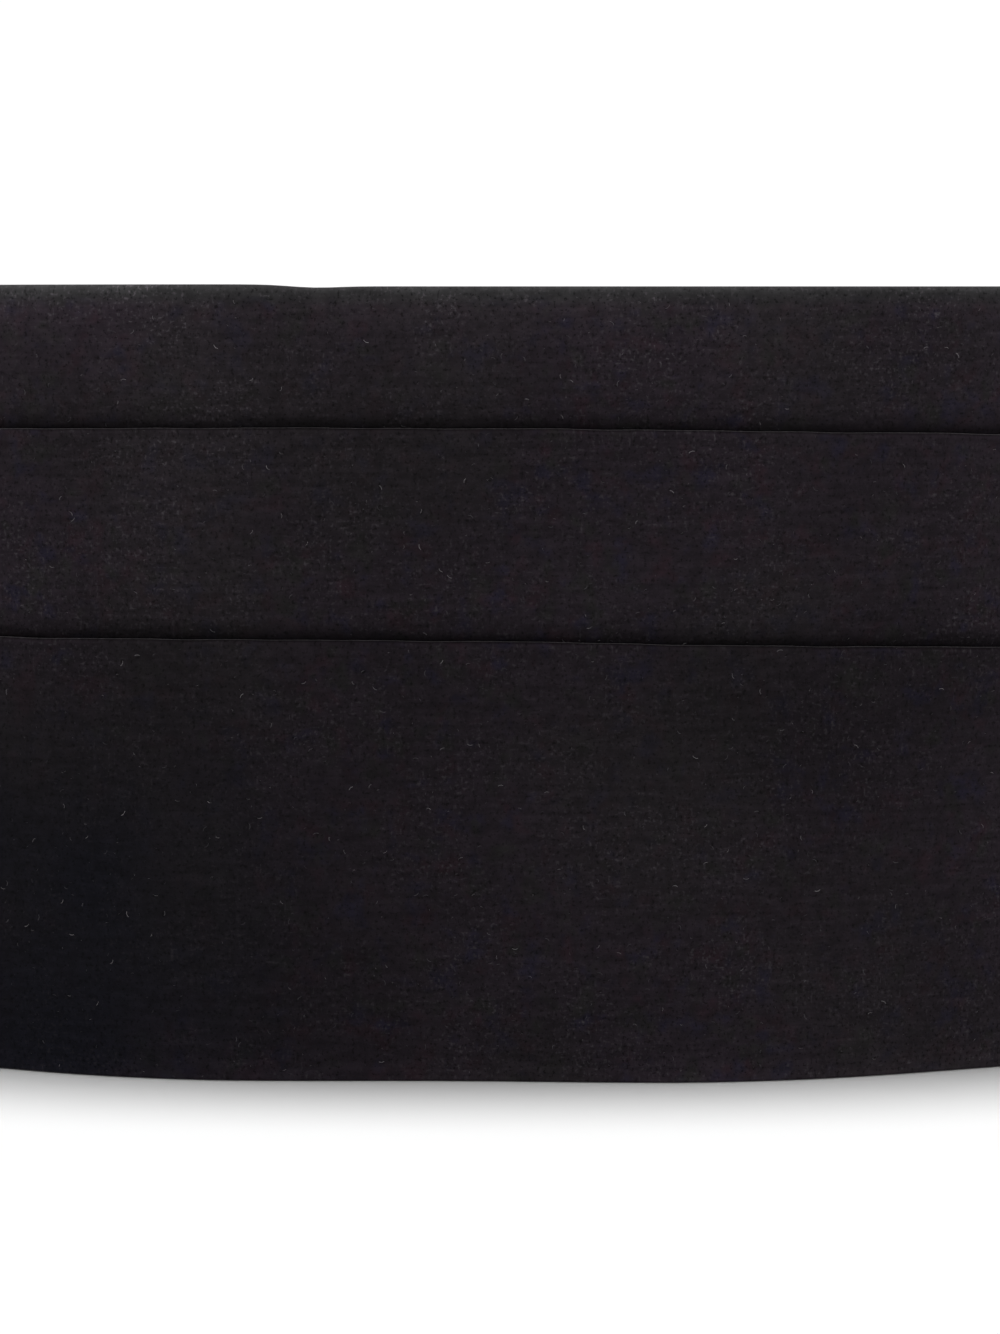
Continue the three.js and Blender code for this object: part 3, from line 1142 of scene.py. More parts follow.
@dataclass
class PleatedFront:
    """The front: one cloth with a rolled upper edge, a hem below and two pleats that open upwards."""

    shop: Workshop
    node: str = "pleated_front"
    cloth: float = 0.85 * MM
    pitch: float = 0.95 * MM
    inset: float = 0.4 * MM
    tuck_depth: float = 15 * MM
    hem_depth: float = 11 * MM
    roll_radius: float = 0.95 * MM
    roll_ease: float = 7 * MM
    bulge: float = 0.7 * MM
    pocket: float = 3.0 * MM
    pull: float = 0.35 * MM
    # The strongest painted shade in a fold's crease, as a share of the cloth's colour.
    nip: float = 0.76
    mark_height: float = 0.13 * MM
    mark_lengths: tuple[float, ...] = (13 * MM, 21 * MM, 34 * MM, 55 * MM)
    step: float = 2.4 * MM
    folds: tuple[Fold, ...] = (Fold(0.5574, 0.0275, 0.118), Fold(0.8238, 0.0145, 0.095))
    dent_place: float = -30.5 * MM
    dent_width: float = 5.5 * MM
    dent_depth: float = 0.35 * MM
    left_rise: float = 0.34 * MM
    lift: float = 0.1 * MM
    rise_width: float = 6 * MM
    rise_reach: float = 122 * MM
    rise_squareness: int = 4
    sharp_above: float = 50.0
    turn_steps: int = 8
    roll_steps: int = 12
    hem_steps: int = 5
    face_steps: int = 18
    lap_steps: int = 7
    tuck_steps: int = 6
    pocket_steps: int = 8
    rise_steps: int = 12
    ease_steps: int = 10
    back_steps: int = 6
    end_steps: int = 3

    def upper_edge(self, distance: np.ndarray, top: np.ndarray) -> np.ndarray:
        """The upper edge with its dent, left of which it stands a little higher.

        Args:
            distance: Distances to the right of the middle.
            top: The plain upper edge there.

        Returns:
            The edge's heights.
        """
        beside = (distance - self.dent_place) / self.dent_width
        dent = self.dent_depth * np.exp(-(beside**2))
        rise = self.left_rise / 2 * (1 - np.tanh((distance - self.dent_place) / self.rise_width))
        near = np.exp(-((distance / self.rise_reach) ** self.rise_squareness))
        return top - dent + self.lift + rise * near

    def press_marks(self, distance: np.ndarray, seed: int) -> np.ndarray:
        """Small waves in a pressed fold edge.

        Args:
            distance: Distances to the right of the middle.
            seed: The number of the fold, for waves of its own.

        Returns:
            How far the edge is moved up at each distance.
        """
        dice = np.random.default_rng(seed)
        waves = np.zeros_like(distance)
        for length in self.mark_lengths:
            waves += np.sin(TURN * distance / length + dice.uniform(0.0, TURN)) / len(self.mark_lengths)
        return self.mark_height * waves

    def line(self, stations: np.ndarray) -> ClothLine:
        """The folded cloth's middle line, from the lower hem's raw edge to the upper hem's.

        Args:
            stations: Distances along the band of the sections.

        Returns:
            The line.
        """
        low, high = self.shop.plan.edges(stations)
        size = (high - low) / self.shop.plan.front_height
        top = self.upper_edge(stations, high)
        share = stations / self.shop.plan.panel_end
        half = self.cloth / 2
        inner, middle, outer = [self.inset + half + k * self.pitch for k in range(3)]
        bend = self.pitch / 2
        tuck = self.tuck_depth * size
        hem = self.hem_depth * size
        pocket = self.pocket * size
        line = ClothLine(len(stations))
        line.put(inner, low + hem)
        line.run(inner, low + bend + half, self.hem_steps)
        foot = inner + bend, low + bend + half
        line.turn(foot, bend, 2 * QUARTER, self.turn_steps, start=2 * QUARTER, shows=True)
        for number, fold in enumerate(self.folds):
            edge = fold.height(share, low, high) + self.press_marks(stations, number)
            line.run(outer, edge - tuck - pocket, self.face_steps, shows=True)
            line.run(outer, edge - bend - half, self.lap_steps, shows=True)
            crest = middle + bend, edge - bend - half
            # Painted shade on top of the crest, painted highlight lower on it.
            line.turn(crest, bend, 2 * QUARTER, self.turn_steps, shows=True, nip=self.nip)
            line.run(middle, edge - tuck + bend, self.tuck_steps)
            line.turn((inner + bend, edge - tuck + bend), bend, -2 * QUARTER, self.turn_steps)
            line.run(inner - self.pull, edge - bend, self.tuck_steps)
            # Painted shade that dies away up the cloth above the fold's edge.
            line.run(inner, edge + pocket, self.pocket_steps, shows=True, nip=self.nip)
        roll_top = top - self.roll_radius - half
        line.run(middle + self.bulge, top - hem - pocket, self.rise_steps, shows=True)
        line.run(inner + bend + self.roll_radius, roll_top, self.ease_steps, shows=True)
        line.turn((inner + bend, roll_top), self.roll_radius, 2 * QUARTER, self.roll_steps, shows=True)
        line.run(inner, top - self.roll_ease * size, self.back_steps)
        line.run(inner, top - hem, self.end_steps)
        return line

    def stations(self) -> np.ndarray:
        """Distances along the band of the cloth's sections."""
        end = self.shop.plan.panel_end
        return np.linspace(-end, end, math.ceil(2 * end / self.step) + 1)

    def straight(self) -> Piece:
        """The cloth laid out straight, with its own map in metres, marks on what shows and its painted shade.

        Returns:
            The mesh object.
        """
        stations = self.stations()
        line = self.line(stations)
        right, left = line.outline(self.cloth)
        lengths = line.lengths()
        ring = np.concatenate([right, left[::-1]]).transpose(1, 0, 2)
        rows, size = ring.shape[:2]
        x = np.broadcast_to(stations[:, None], (rows, size))
        rung = np.arange(size // 2 - 1)
        ladder = np.stack([rung, size - 1 - rung, size - 2 - rung, rung + 1], axis=1)
        faces = np.concatenate([tube_faces(rows, size), ladder, ladder[:, ::-1] + size * (rows - 1)])
        mesh = new_mesh(self.node, np.stack([x, -ring[..., 0], ring[..., 1]], axis=2), faces)
        map_cloth(mesh, np.stack([x, np.concatenate([lengths, lengths[::-1]]).T], axis=2))
        hidden = np.zeros(len(left))
        # Marks on what shows, and the painted shade and highlight of the folds.
        for name, values in (("shows", line.shows), ("nip", line.nips)):
            mark = mesh.attributes.new(name, "FLOAT", "POINT")
            mark.data.foreach_set("value", np.tile(np.concatenate([values, hidden]), rows).astype(np.float32))
        return new_object(self.node + "_straight", mesh)

    def declare(self, piece: Piece, others: Sequence[Piece]) -> None:
        stations = self.stations()
        self.line(stations).lengths()[-1]

    def build(self) -> Piece:
        """Makes the front and wraps it.

        Returns:
            The finished piece.
        """
        piece = self.shop.wrap_cloth(self.straight(), "front_cloth")
        face_outwards(piece)
        return hand_over(piece, Slot.CLOTH, self.sharp_above, self.node)


# Tabs


@dataclass
class EndTab:
    """A tapered cloth tab: a flattened tube, sewn over the pleats at one end and the strap at the other."""

    shop: Workshop
    side: Side
    wall: float = 1.0 * MM
    corner: float = 1.7 * MM
    corner_share: float = 0.8
    corner_points: int = 6
    side_points: int = 17
    crown: float = 0.3 * MM
    seam_inset: float = 3 * MM
    seam_pull: float = 0.3 * MM
    seam_width: float = 1.5 * MM
    lip_width: float = 0.28 * MM
    lip_segments: int = 3
    sharp_above: float = 60.0
    step: float = 1.2 * MM

    def reach(self, distance: np.ndarray) -> tuple[np.ndarray, np.ndarray, np.ndarray]:
        """The tube's size at the middle of its wall.

        Args:
            distance: Distances along the band, on the right-hand side.

        Returns:
            Half its thickness, its lowest and its highest height.
        """
        plan = self.shop.plan
        past = np.clip((distance - plan.panel_end) / plan.tab_reach, 0.0, 1.0)
        low, high = plan.edges(np.minimum(distance, plan.panel_end))
        spare = plan.clearance + self.wall / 2
        low = low + (plan.strap_middle - plan.strap_width / 2 - low) * past - spare
        high = high + (plan.strap_middle + plan.strap_width / 2 - high) * past + spare
        half = (plan.stack + (plan.strap_thickness - plan.stack) * past) / 2 + spare
        for seam in self.seams:
            half = half - self.seam_pull * np.exp(-(((distance - seam) / self.seam_width) ** 2))
        return half, low, high

    def stations(self) -> np.ndarray:
        """Distances along the band of the tube's sections."""
        first, last = self.shop.plan.panel_end - self.shop.plan.tab_cover, self.shop.plan.tab_end
        return np.linspace(first, last, math.ceil((last - first) / self.step) + 1)

    @property
    def seams(self) -> tuple[float, float]:
        """Distances along the band of the two upright seams."""
        plan = self.shop.plan
        return plan.panel_end - plan.tab_cover + self.seam_inset, plan.tab_end - self.seam_inset

    def rings(self, distance: np.ndarray) -> tuple[np.ndarray, np.ndarray]:
        """Sections of the flattened tube.

        Args:
            distance: Distances along the band, on the right-hand side.

        Returns:
            Out and height, each an array of stations and points.
        """
        half, low, high = self.reach(distance)
        corner = np.minimum(self.corner, half * self.corner_share)[:, None]
        middle, tall = ((low + high) / 2)[:, None], ((high - low) / 2)[:, None]
        angles = np.linspace(0.0, QUARTER, self.corner_points)
        upright = np.linspace(-1.0, 1.0, self.side_points)[1:-1]
        across, up = [], []
        for quarter, (sign_out, sign_up) in enumerate(((1, -1), (1, 1), (-1, 1), (-1, -1))):
            turned = angles + (quarter - 1) * QUARTER
            across.append(sign_out * (half[:, None] - corner) + corner * np.cos(turned))
            up.append(sign_up * (tall - corner) + corner * np.sin(turned))
            if sign_out != sign_up:
                bulge = self.crown * (1 - upright**2)
                across.append(sign_out * (half[:, None] + bulge))
                up.append(sign_out * upright * (tall - corner))
        return np.concatenate(across, axis=1), middle + np.concatenate(up, axis=1)

    def straight(self, name: str) -> Piece:
        """The tube's wall laid out straight, with what gives it its thickness and its round lips.

        Args:
            name: The name of the modelled tab.

        Returns:
            The mesh object.
        """
        distance = self.stations()
        across, up = self.rings(distance)
        x = np.broadcast_to(self.side.value * distance[:, None], across.shape)
        faces = tube_faces(*across.shape)
        if self.side is Side.LEFT:
            faces = faces[:, ::-1]
        mesh = new_mesh(name, np.stack([x, -(self.shop.plan.middle_out + across), up], axis=2), faces)
        map_cloth(mesh, np.stack([x, up], axis=2))
        start = new_object(name + "_straight", mesh)
        wall = start.modifiers.new("wall", "SOLIDIFY")
        wall.thickness = self.wall
        wall.offset = 0.0
        wall.use_even_offset = True
        lip = start.modifiers.new("lip", "BEVEL")
        lip.width = self.lip_width
        lip.segments = self.lip_segments
        lip.limit_method = "ANGLE"
        lip.angle_limit = math.radians(self.sharp_above)
        return start

    def build(self) -> Piece:
        """Makes the tab and wraps it.

        Returns:
            The finished piece.
        """
        name = f"end_tab_{self.side.word}"
        piece = self.shop.wrap_cloth(self.straight(name), f"tab_cloth_{self.side.word}")
        face_outwards(piece, NEAR_DOUBLE)
        return hand_over(piece, Slot.CLOTH, self.sharp_above, name)

    def declare(self, piece: Piece, others: Sequence[Piece]) -> None:
        """Args:
            piece: The finished tab. Not used.
            others: The pieces that are on it. Not used.
        """
        distance = self.stations()
        across, up = self.rings(distance)
        girths = np.hypot(across - np.roll(across, 1, axis=1), up - np.roll(up, 1, axis=1)).sum(axis=1)


# Straps


@dataclass
class BackStrap:
    """A strap of ribbed webbing that runs from its tab to the slide, round a bar, and back on itself."""

    shop: Workshop
    side: Side
    rib_pitch: float = RibbedWebbing.rib_pitch
    rib_depth: float = 0.2 * MM
    edge_radius: float = 0.6 * MM
    tab_inset: float = 2 * MM
    straight_end: float = 2 * MM
    layer_gap: float = 0.3 * MM
    ease_steps: int = 8
    turn_steps: int = 16
    steps_per_rib: float = 4.0
    corner_points: int = 4
    cuts: int = 1
    sharp_above: float = 60.0

    def route(self) -> list[tuple[float, float]]:
        """The strap's middle line on the right-hand side.

        Returns:
            Points of distance along the band and distance outwards.
        """
        plan = self.shop.plan
        out, thick = plan.middle_out, plan.strap_thickness
        radius = plan.slide_thickness / 2 + plan.clearance + thick / 2
        turn = plan.bar_place + plan.bar_width / 2 + plan.clearance
        back = out - thick - self.layer_gap
        near_bar = plan.bar_place - plan.bar_width
        parting = plan.part_place - self.straight_end
        points = [(plan.panel_end + self.tab_inset, out), (plan.tab_end, out), (parting, out)]
        points += self.between((plan.part_place, out), (near_bar, out + radius))
        angles = [QUARTER - math.pi * k / self.turn_steps for k in range(self.turn_steps + 1)]
        points += [(turn + radius * math.cos(a), out + radius * math.sin(a)) for a in angles]
        points += self.between((near_bar, out - radius), (plan.part_place, back))
        return [*points, (parting, back), (plan.fold_back_end, back)]

    def between(self, start: tuple[float, float], end: tuple[float, float]) -> list[tuple[float, float]]:
        """The points of an eased line from one point to another."""
        (x, y), shares = start, [k / self.ease_steps for k in range(self.ease_steps + 1)]
        return [(x + (end[0] - x) * share, y + (end[1] - y) * eased(share)) for share in shares]

    def ribbed_band(self) -> GeometryGraph:
        """Writes the group that sweeps the webbing along its route, raises its ribs and wraps it.

        Returns:
            The group, with named inputs for the webbing's sizes.
        """
        sizes = ("Width", "Thickness", "Edge Radius", "Rib Pitch", "Rib Depth")
        inputs = {**LOOP_INPUTS, **dict.fromkeys(sizes, "Float"), "Finish": "Material"}
        graph = GeometryGraph(f"ribbed_band_{self.side.word}", inputs)
        given = graph.given
        step = graph.math("DIVIDE", given["Rib Pitch"], self.steps_per_rib)
        line = graph.out("GeometryNodeMeshToCurve", {0: given["Geometry"]})
        fine = graph.out("GeometryNodeResampleCurve", {"Curve": line, "Length": step}, mode="LENGTH")
        upright = graph.out("GeometryNodeSetCurveNormal", {"Curve": fine}, mode="Z_UP")
        kept = graph.add("GeometryNodeCaptureAttribute", {"Geometry": upright}, domain="POINT")
        kept.capture_items.new("FLOAT", "Travelled")
        graph.feed(kept.inputs["Travelled"], graph.add("GeometryNodeSplineParameter").outputs["Length"])
        travelled = kept.outputs["Travelled"]
        sides = {"Width": given["Thickness"], "Height": given["Width"]}
        section = graph.out("GeometryNodeCurvePrimitiveQuadrilateral", sides)
        fillet = {"Count": self.corner_points, "Radius": given["Edge Radius"], "Limit Radius": True}
        rounded = graph.out("GeometryNodeFilletCurve", {"Curve": section, **fillet}, mode="POLY")
        dense = graph.out("GeometryNodeSubdivideCurve", {"Curve": rounded, "Cuts": self.cuts})
        sweep = {"Curve": kept.outputs["Geometry"], "Profile Curve": dense, "Fill Caps": True}
        body = graph.out("GeometryNodeCurveToMesh", sweep)
        rib_turn = graph.math("MULTIPLY", graph.math("DIVIDE", travelled, given["Rib Pitch"]), math.pi)
        rib = graph.math("ABSOLUTE", graph.math("SINE", rib_turn))
        lift = graph.math("MULTIPLY", graph.math("SUBTRACT", rib, 1.0), given["Rib Depth"])
        offset = graph.scaled(graph.out("GeometryNodeInputNormal"), lift)
        ribbed = graph.out("GeometryNodeSetPosition", {"Geometry": body, "Offset": offset})
        height = graph.split(graph.out("GeometryNodeInputPosition"))[2]
        cloth_map = {"Geometry": ribbed, "Name": CLOTH_MAP, "Value": graph.joined(travelled, height)}
        kind = {"data_type": "FLOAT2", "domain": "CORNER"}
        mapped = graph.out("GeometryNodeStoreNamedAttribute", cloth_map, **kind)
        graph.finish(self.shop.wrapped(graph, mapped))
        return graph

    def build(self) -> Piece:
        """Lays the route, sweeps the webbing along it and dresses it.

        Returns:
            The finished piece.
        """
        plan = self.shop.plan
        route = [(self.side.value * x, -out, plan.strap_middle) for x, out in self.route()]
        piece = self.ribbed_band().run(
            new_rows(f"strap_{self.side.word}_route", [route]),
            f"webbing_{self.side.word}",
            Width=plan.strap_width,
            Thickness=plan.strap_thickness,
            Edge_Radius=self.edge_radius,
            Rib_Pitch=self.rib_pitch,
            Rib_Depth=self.rib_depth,
            Finish=self.shop.dress(RibbedWebbing()),
            **self.shop.around,
        )
        face_outwards(piece)
        return hand_over(piece, Slot.WEBBING, self.sharp_above, f"strap_{self.side.word}")


# Slide


@dataclass
class BackSlide:
    """The flat slide at the back: three upright bars between two rails, with rounded edges."""

    shop: Workshop
    node: str = "back_slide"
    edge_radius: float = 0.45 * MM
    edge_steps: int = 3
    corner: float = 2.5 * MM
    corner_steps: int = 6
    slot_corner: float = 0.8 * MM
    rail: float = 3 * MM
    sharp_above: float = 35.0

    def rounded(self, width: float, height: float, radius: float, middle: float) -> list[tuple[float, float]]:
        """The outline of a rectangle with round corners.

        Args:
            width: Its width.
            height: Its height.
            radius: Its corners' radius.
            middle: Where its middle lies across.

        Returns:
            Its points.
        """
        points = []
        for quarter, (across, up) in enumerate(((1, 1), (-1, 1), (-1, -1), (1, -1))):
            x, y = middle + across * (width / 2 - radius), up * (height / 2 - radius)
            angles = [(quarter + k / self.corner_steps) * QUARTER for k in range(self.corner_steps + 1)]
            points += [(x + radius * math.cos(angle), y + radius * math.sin(angle)) for angle in angles]
        return points

    def build(self) -> Piece:
        """Makes the slide from flat outlines with a rounded edge.

        Returns:
            The finished piece.
        """
        plan = self.shop.plan
        low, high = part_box(self.node)
        size, middle = high - low, (low + high) / 2
        outlines = [self.rounded(size.x, size.z, self.corner, 0.0)]
        for side in Side:
            place = side.value * (plan.middle_bar + plan.slot_width) / 2
            outlines.append(self.rounded(plan.slot_width, size.z - 2 * self.rail, self.slot_corner, place))
        data = bpy.data.curves.new("slide_outline", "CURVE")
        data.dimensions = "2D"
        data.fill_mode = "BOTH"
        data.extrude = size.y / 2 - self.edge_radius
        data.bevel_depth = self.edge_radius
        data.bevel_resolution = self.edge_steps
        data.offset = -self.edge_radius
        for outline in outlines:
            spline = data.splines.new("POLY")
            spline.points.add(len(outline) - 1)
            spline.points.foreach_set("co", [c for x, y in outline for c in (x, y, 0.0, 1.0)])
            spline.use_cyclic_u = True
        piece = made_plain(new_object("slide_outline", data), "slide_plate")
        upright = np.array([v.co for v in piece.data.vertices])
        turned = np.stack([upright[:, 0], -upright[:, 2], upright[:, 1]], axis=1) + np.array(middle)
        piece.data.vertices.foreach_set("co", turned.astype(np.float32).ravel())
        face_outwards(piece, NEAR_DOUBLE)
        piece.data.materials.clear()
        piece.data.materials.append(self.shop.dress(BlackEnamel()))
        return hand_over(piece, Slot.METAL, self.sharp_above, self.node)


# Seams


@dataclass(frozen=True)
class SeamPlan:
    """Where the rows of stitches run, each laid out straight beside the face that it is sewn into."""

    plan: BandPlan
    tab_inset: float = 2.6 * MM
    tab_aside: float = 6 * MM
    tab_points: int = 24
    box_inset: float = 3 * MM
    box_end: float = 2 * MM
    box_half: float = 14.5 * MM
    box_aside: float = 8 * MM
    hem_end: float = 4 * MM
    hem_inset: float = 2 * MM
    hem_aside: float = 3 * MM
    hem_points: int = 120

    def both_faces(self, rows: Sequence[Sequence[tuple[float, float]]], aside: float) -> list[Row]:
        """Rows of distance along the band and height, set that far beside the outer and the inner face."""
        outs = [self.plan.middle_out + face * aside for face in (1, -1)]
        return [[(x, -out, z) for x, z in row] for out in outs for row in rows]

    def tab(self, tab: EndTab) -> list[Row]:
        """The rows on both faces of a tab: two upright ones, and one along each edge between them.

        Args:
            tab: The tab.

        Returns:
            The rows' points.
        """
        places = np.linspace(*tab.seams, self.tab_points)
        _, low, high = tab.reach(places)
        across = tab.side.value * places
        lower, upper = list(zip(across, low + self.tab_inset)), list(zip(across, high - self.tab_inset))
        rows = [lower, upper, (lower[0], upper[0]), (lower[-1], upper[-1])]
        return self.both_faces(rows, self.tab_aside)

    def strap(self, side: Side) -> list[Row]:
        """The crossed box on both faces of a strap's doubled stretch.

        Args:
            side: The strap's side.

        Returns:
            The rows' points.
        """
        near = side.value * (self.plan.fold_back_end + self.box_inset)
        far = side.value * (self.plan.part_place - self.box_end)
        low, high = self.plan.strap_middle - self.box_half, self.plan.strap_middle + self.box_half
        corners = [(near, low), (far, low), (far, high), (near, high)]
        rows = [(*corners, corners[0]), (corners[0], corners[2]), (corners[1], corners[3])]
        return self.both_faces(rows, self.box_aside)

    def hems(self, front: PleatedFront) -> list[Row]:
        """The rows that hold the two hems down, on the inner face.

        Args:
            front: The front.

        Returns:
            The rows' points.
        """
        end = self.plan.panel_end - self.plan.tab_cover - self.hem_end
        places = np.linspace(-end, end, self.hem_points)
        low, high = self.plan.edges(places)
        inset = (front.hem_depth - self.hem_inset) * (high - low) / self.plan.front_height
        heights = low + inset, high - inset
        return [[(x, self.hem_aside, z) for x, z in zip(places, height)] for height in heights]


@dataclass
class Stitching:
    """Rows of stitches on one piece, seated on its surface by Geometry Nodes."""

    shop: Workshop
    name: str
    pitch: float = 2.7 * MM
    length: float = 2.05 * MM
    thread: float = 0.34 * MM
    row_step: float = 0.5 * MM
    segments: int = 7
    rings: int = 6
    sharp_above: float = 80.0

    def group(self) -> GeometryGraph:
        """Writes the group that wraps the rows, seats them on the cloth and sets the stitches.

        Returns:
            The group, with named inputs for the stitches' sizes.
        """
        sizes = dict.fromkeys(("Pitch", "Length", "Thread"), "Float")
        inputs = {**LOOP_INPUTS, "Cloth": "Object", **sizes, "Finish": "Material"}
        graph = GeometryGraph(f"stitches_{self.name}", inputs)
        given = graph.given
        line = graph.out("GeometryNodeMeshToCurve", {0: given["Geometry"]})
        spacing = {"Curve": line, "Length": self.row_step}
        dense = graph.out("GeometryNodeResampleCurve", spacing, mode="LENGTH")
        cloth = graph.add("GeometryNodeObjectInfo", {"Object": given["Cloth"]}).outputs["Geometry"]
        nearest = graph.add("GeometryNodeProximity", {0: cloth}, target_element="FACES").outputs["Position"]
        moved = {"Geometry": self.shop.wrapped(graph, dense), "Position": nearest}
        seated = graph.out("GeometryNodeSetPosition", moved)
        paced = {"Curve": seated, "Length": given["Pitch"]}
        places = graph.add("GeometryNodeCurveToPoints", paced, mode="LENGTH")
        ball = {"Segments": self.segments, "Rings": self.rings, "Radius": 1.0}
        half = graph.math("DIVIDE", given["Thread"], 2.0)
        half_length = graph.math("DIVIDE", given["Length"], 2.0)
        heading = {"Vector": places.outputs["Tangent"]}
        stretched = {
            "Geometry": graph.out("GeometryNodeMeshUVSphere", ball),
            "Scale": graph.joined(half, half, half_length),
        }
        stitches = {
            "Points": places.outputs["Points"],
            "Instance": graph.out("GeometryNodeTransform", stretched),
            "Rotation": graph.out("FunctionNodeAlignEulerToVector", heading, axis="Z"),
        }
        graph.finish(graph.out("GeometryNodeInstanceOnPoints", stitches))
        return graph

    def build(self, cloth: Piece, rows: Sequence[Row], slot: Slot) -> Piece:
        """Sews the rows.

        Args:
            cloth: The finished piece that they are sewn into.
            rows: The rows' points.
            slot: The material slot of the piece.

        Returns:
            All the stitches as one piece.
        """
        piece = self.group().run(
            new_rows(self.name + "_rows", rows),
            self.name,
            Cloth=cloth,
            Pitch=self.pitch,
            Length=self.length,
            Thread=self.thread,
            Finish=self.shop.dress(SewingThread()),
            **self.shop.around,
        )
        return hand_over(piece, slot, self.sharp_above)


# Lint


@dataclass
class Lint:
    """Loose hairs and specks of lint that lie on the outer face of the front.

    A hair's shape is an arc of unit size that is then scaled to its length and thickness.
    """

    shop: Workshop
    density: float = 74000.0
    seed: int = 11
    length: float = 0.75 * MM
    least_length: float = 0.35
    rareness: float = 4.0
    thickness: float = 0.034 * MM
    least_thickness: float = 0.8
    paleness: float = 2.2
    bow_radius: float = 0.8
    bow_sweep: float = 1.3
    bow_points: int = 4
    hair_radius: float = 0.045
    hair_sides: int = 3
    bow_middle: tuple[float, float, float] = (-0.7, -0.45, 0.0)
    sharp_above: float = 180.0

    def hair(self, graph: GeometryGraph) -> Socket:
        """Writes one hair of unit size, with its middle at the origin.

        Args:
            graph: The group that is being written.

        Returns:
            The hair's socket.
        """
        arc = {"Resolution": self.bow_points, "Radius": self.bow_radius, "Sweep Angle": self.bow_sweep}
        bow = graph.out("GeometryNodeCurveArc", arc, mode="RADIUS")
        circle = {"Resolution": self.hair_sides, "Radius": self.hair_radius}
        ring = graph.out("GeometryNodeCurvePrimitiveCircle", circle, mode="RADIUS")
        hair = graph.out("GeometryNodeCurveToMesh", {"Curve": bow, "Profile Curve": ring, "Fill Caps": True})
        return graph.out("GeometryNodeTransform", {"Geometry": hair, "Translation": self.bow_middle})

    def group(self) -> GeometryGraph:
        """Writes the group that strews the fibres.

        Returns:
            The group, with named inputs for the fibres' number and sizes.
        """
        sizes = {"Length": "Float", "Thickness": "Float"}
        inputs = {"Density": "Float", "Seed": "Int", **sizes, "Finish": "Material"}
        graph = GeometryGraph("strewn_fibres", inputs)
        given = graph.given
        shows = graph.out("GeometryNodeInputNamedAttribute", {"Name": "shows"}, data_type="FLOAT")
        density = graph.math("MULTIPLY", shows, given["Density"])
        surface = {"Mesh": given["Geometry"], "Density": density, "Seed": given["Seed"]}
        strewn = graph.add("GeometryNodeDistributePointsOnFaces", surface, distribute_method="RANDOM")
        spin, chance, shade = graph.random(TURN, 1), graph.random(1.0, 2), graph.random(1.0, 3)
        spun = {"Rotation": strewn.outputs["Rotation"], "Rotate By": graph.joined(z=spin)}
        rare = graph.math("POWER", chance, self.rareness)
        long = graph.math("MULTIPLY", given["Length"], graph.math("ADD", self.least_length, rare))
        thick = graph.math("MULTIPLY", given["Thickness"], graph.math("ADD", self.least_thickness, chance))
        hairs = {
            "Points": strewn.outputs["Points"],
            "Instance": self.hair(graph),
            "Rotation": graph.out("FunctionNodeRotateRotation", spun, rotation_space="LOCAL"),
            "Scale": graph.joined(long, long, thick),
        }
        fibres = graph.out("GeometryNodeInstanceOnPoints", hairs)
        mark = {"Geometry": fibres, "Name": "shade", "Value": graph.math("POWER", shade, self.paleness)}
        kind = {"data_type": "FLOAT", "domain": "INSTANCE"}
        graph.finish(graph.out("GeometryNodeStoreNamedAttribute", mark, **kind))
        return graph

    def build(self, cloth: Piece) -> Piece:
        """Strews the fibres over the front.

        Args:
            cloth: The finished front.

        Returns:
            All the fibres as one piece.
        """
        piece = self.group().run(
            new_object("lint_start", cloth.data.copy()),
            "loose_fibres",
            Density=self.density,
            Seed=self.seed,
            Length=self.length,
            Thickness=self.thickness,
            Finish=self.shop.dress(LooseFibre()),
        )
        return hand_over(piece, Slot.CLOTH, self.sharp_above)


# Studio


@dataclass(frozen=True)
class Lamp:
    """One round soft light. Its y is told from the band's front."""

    name: str
    place: tuple[float, float, float]
    size: float
    watts: float


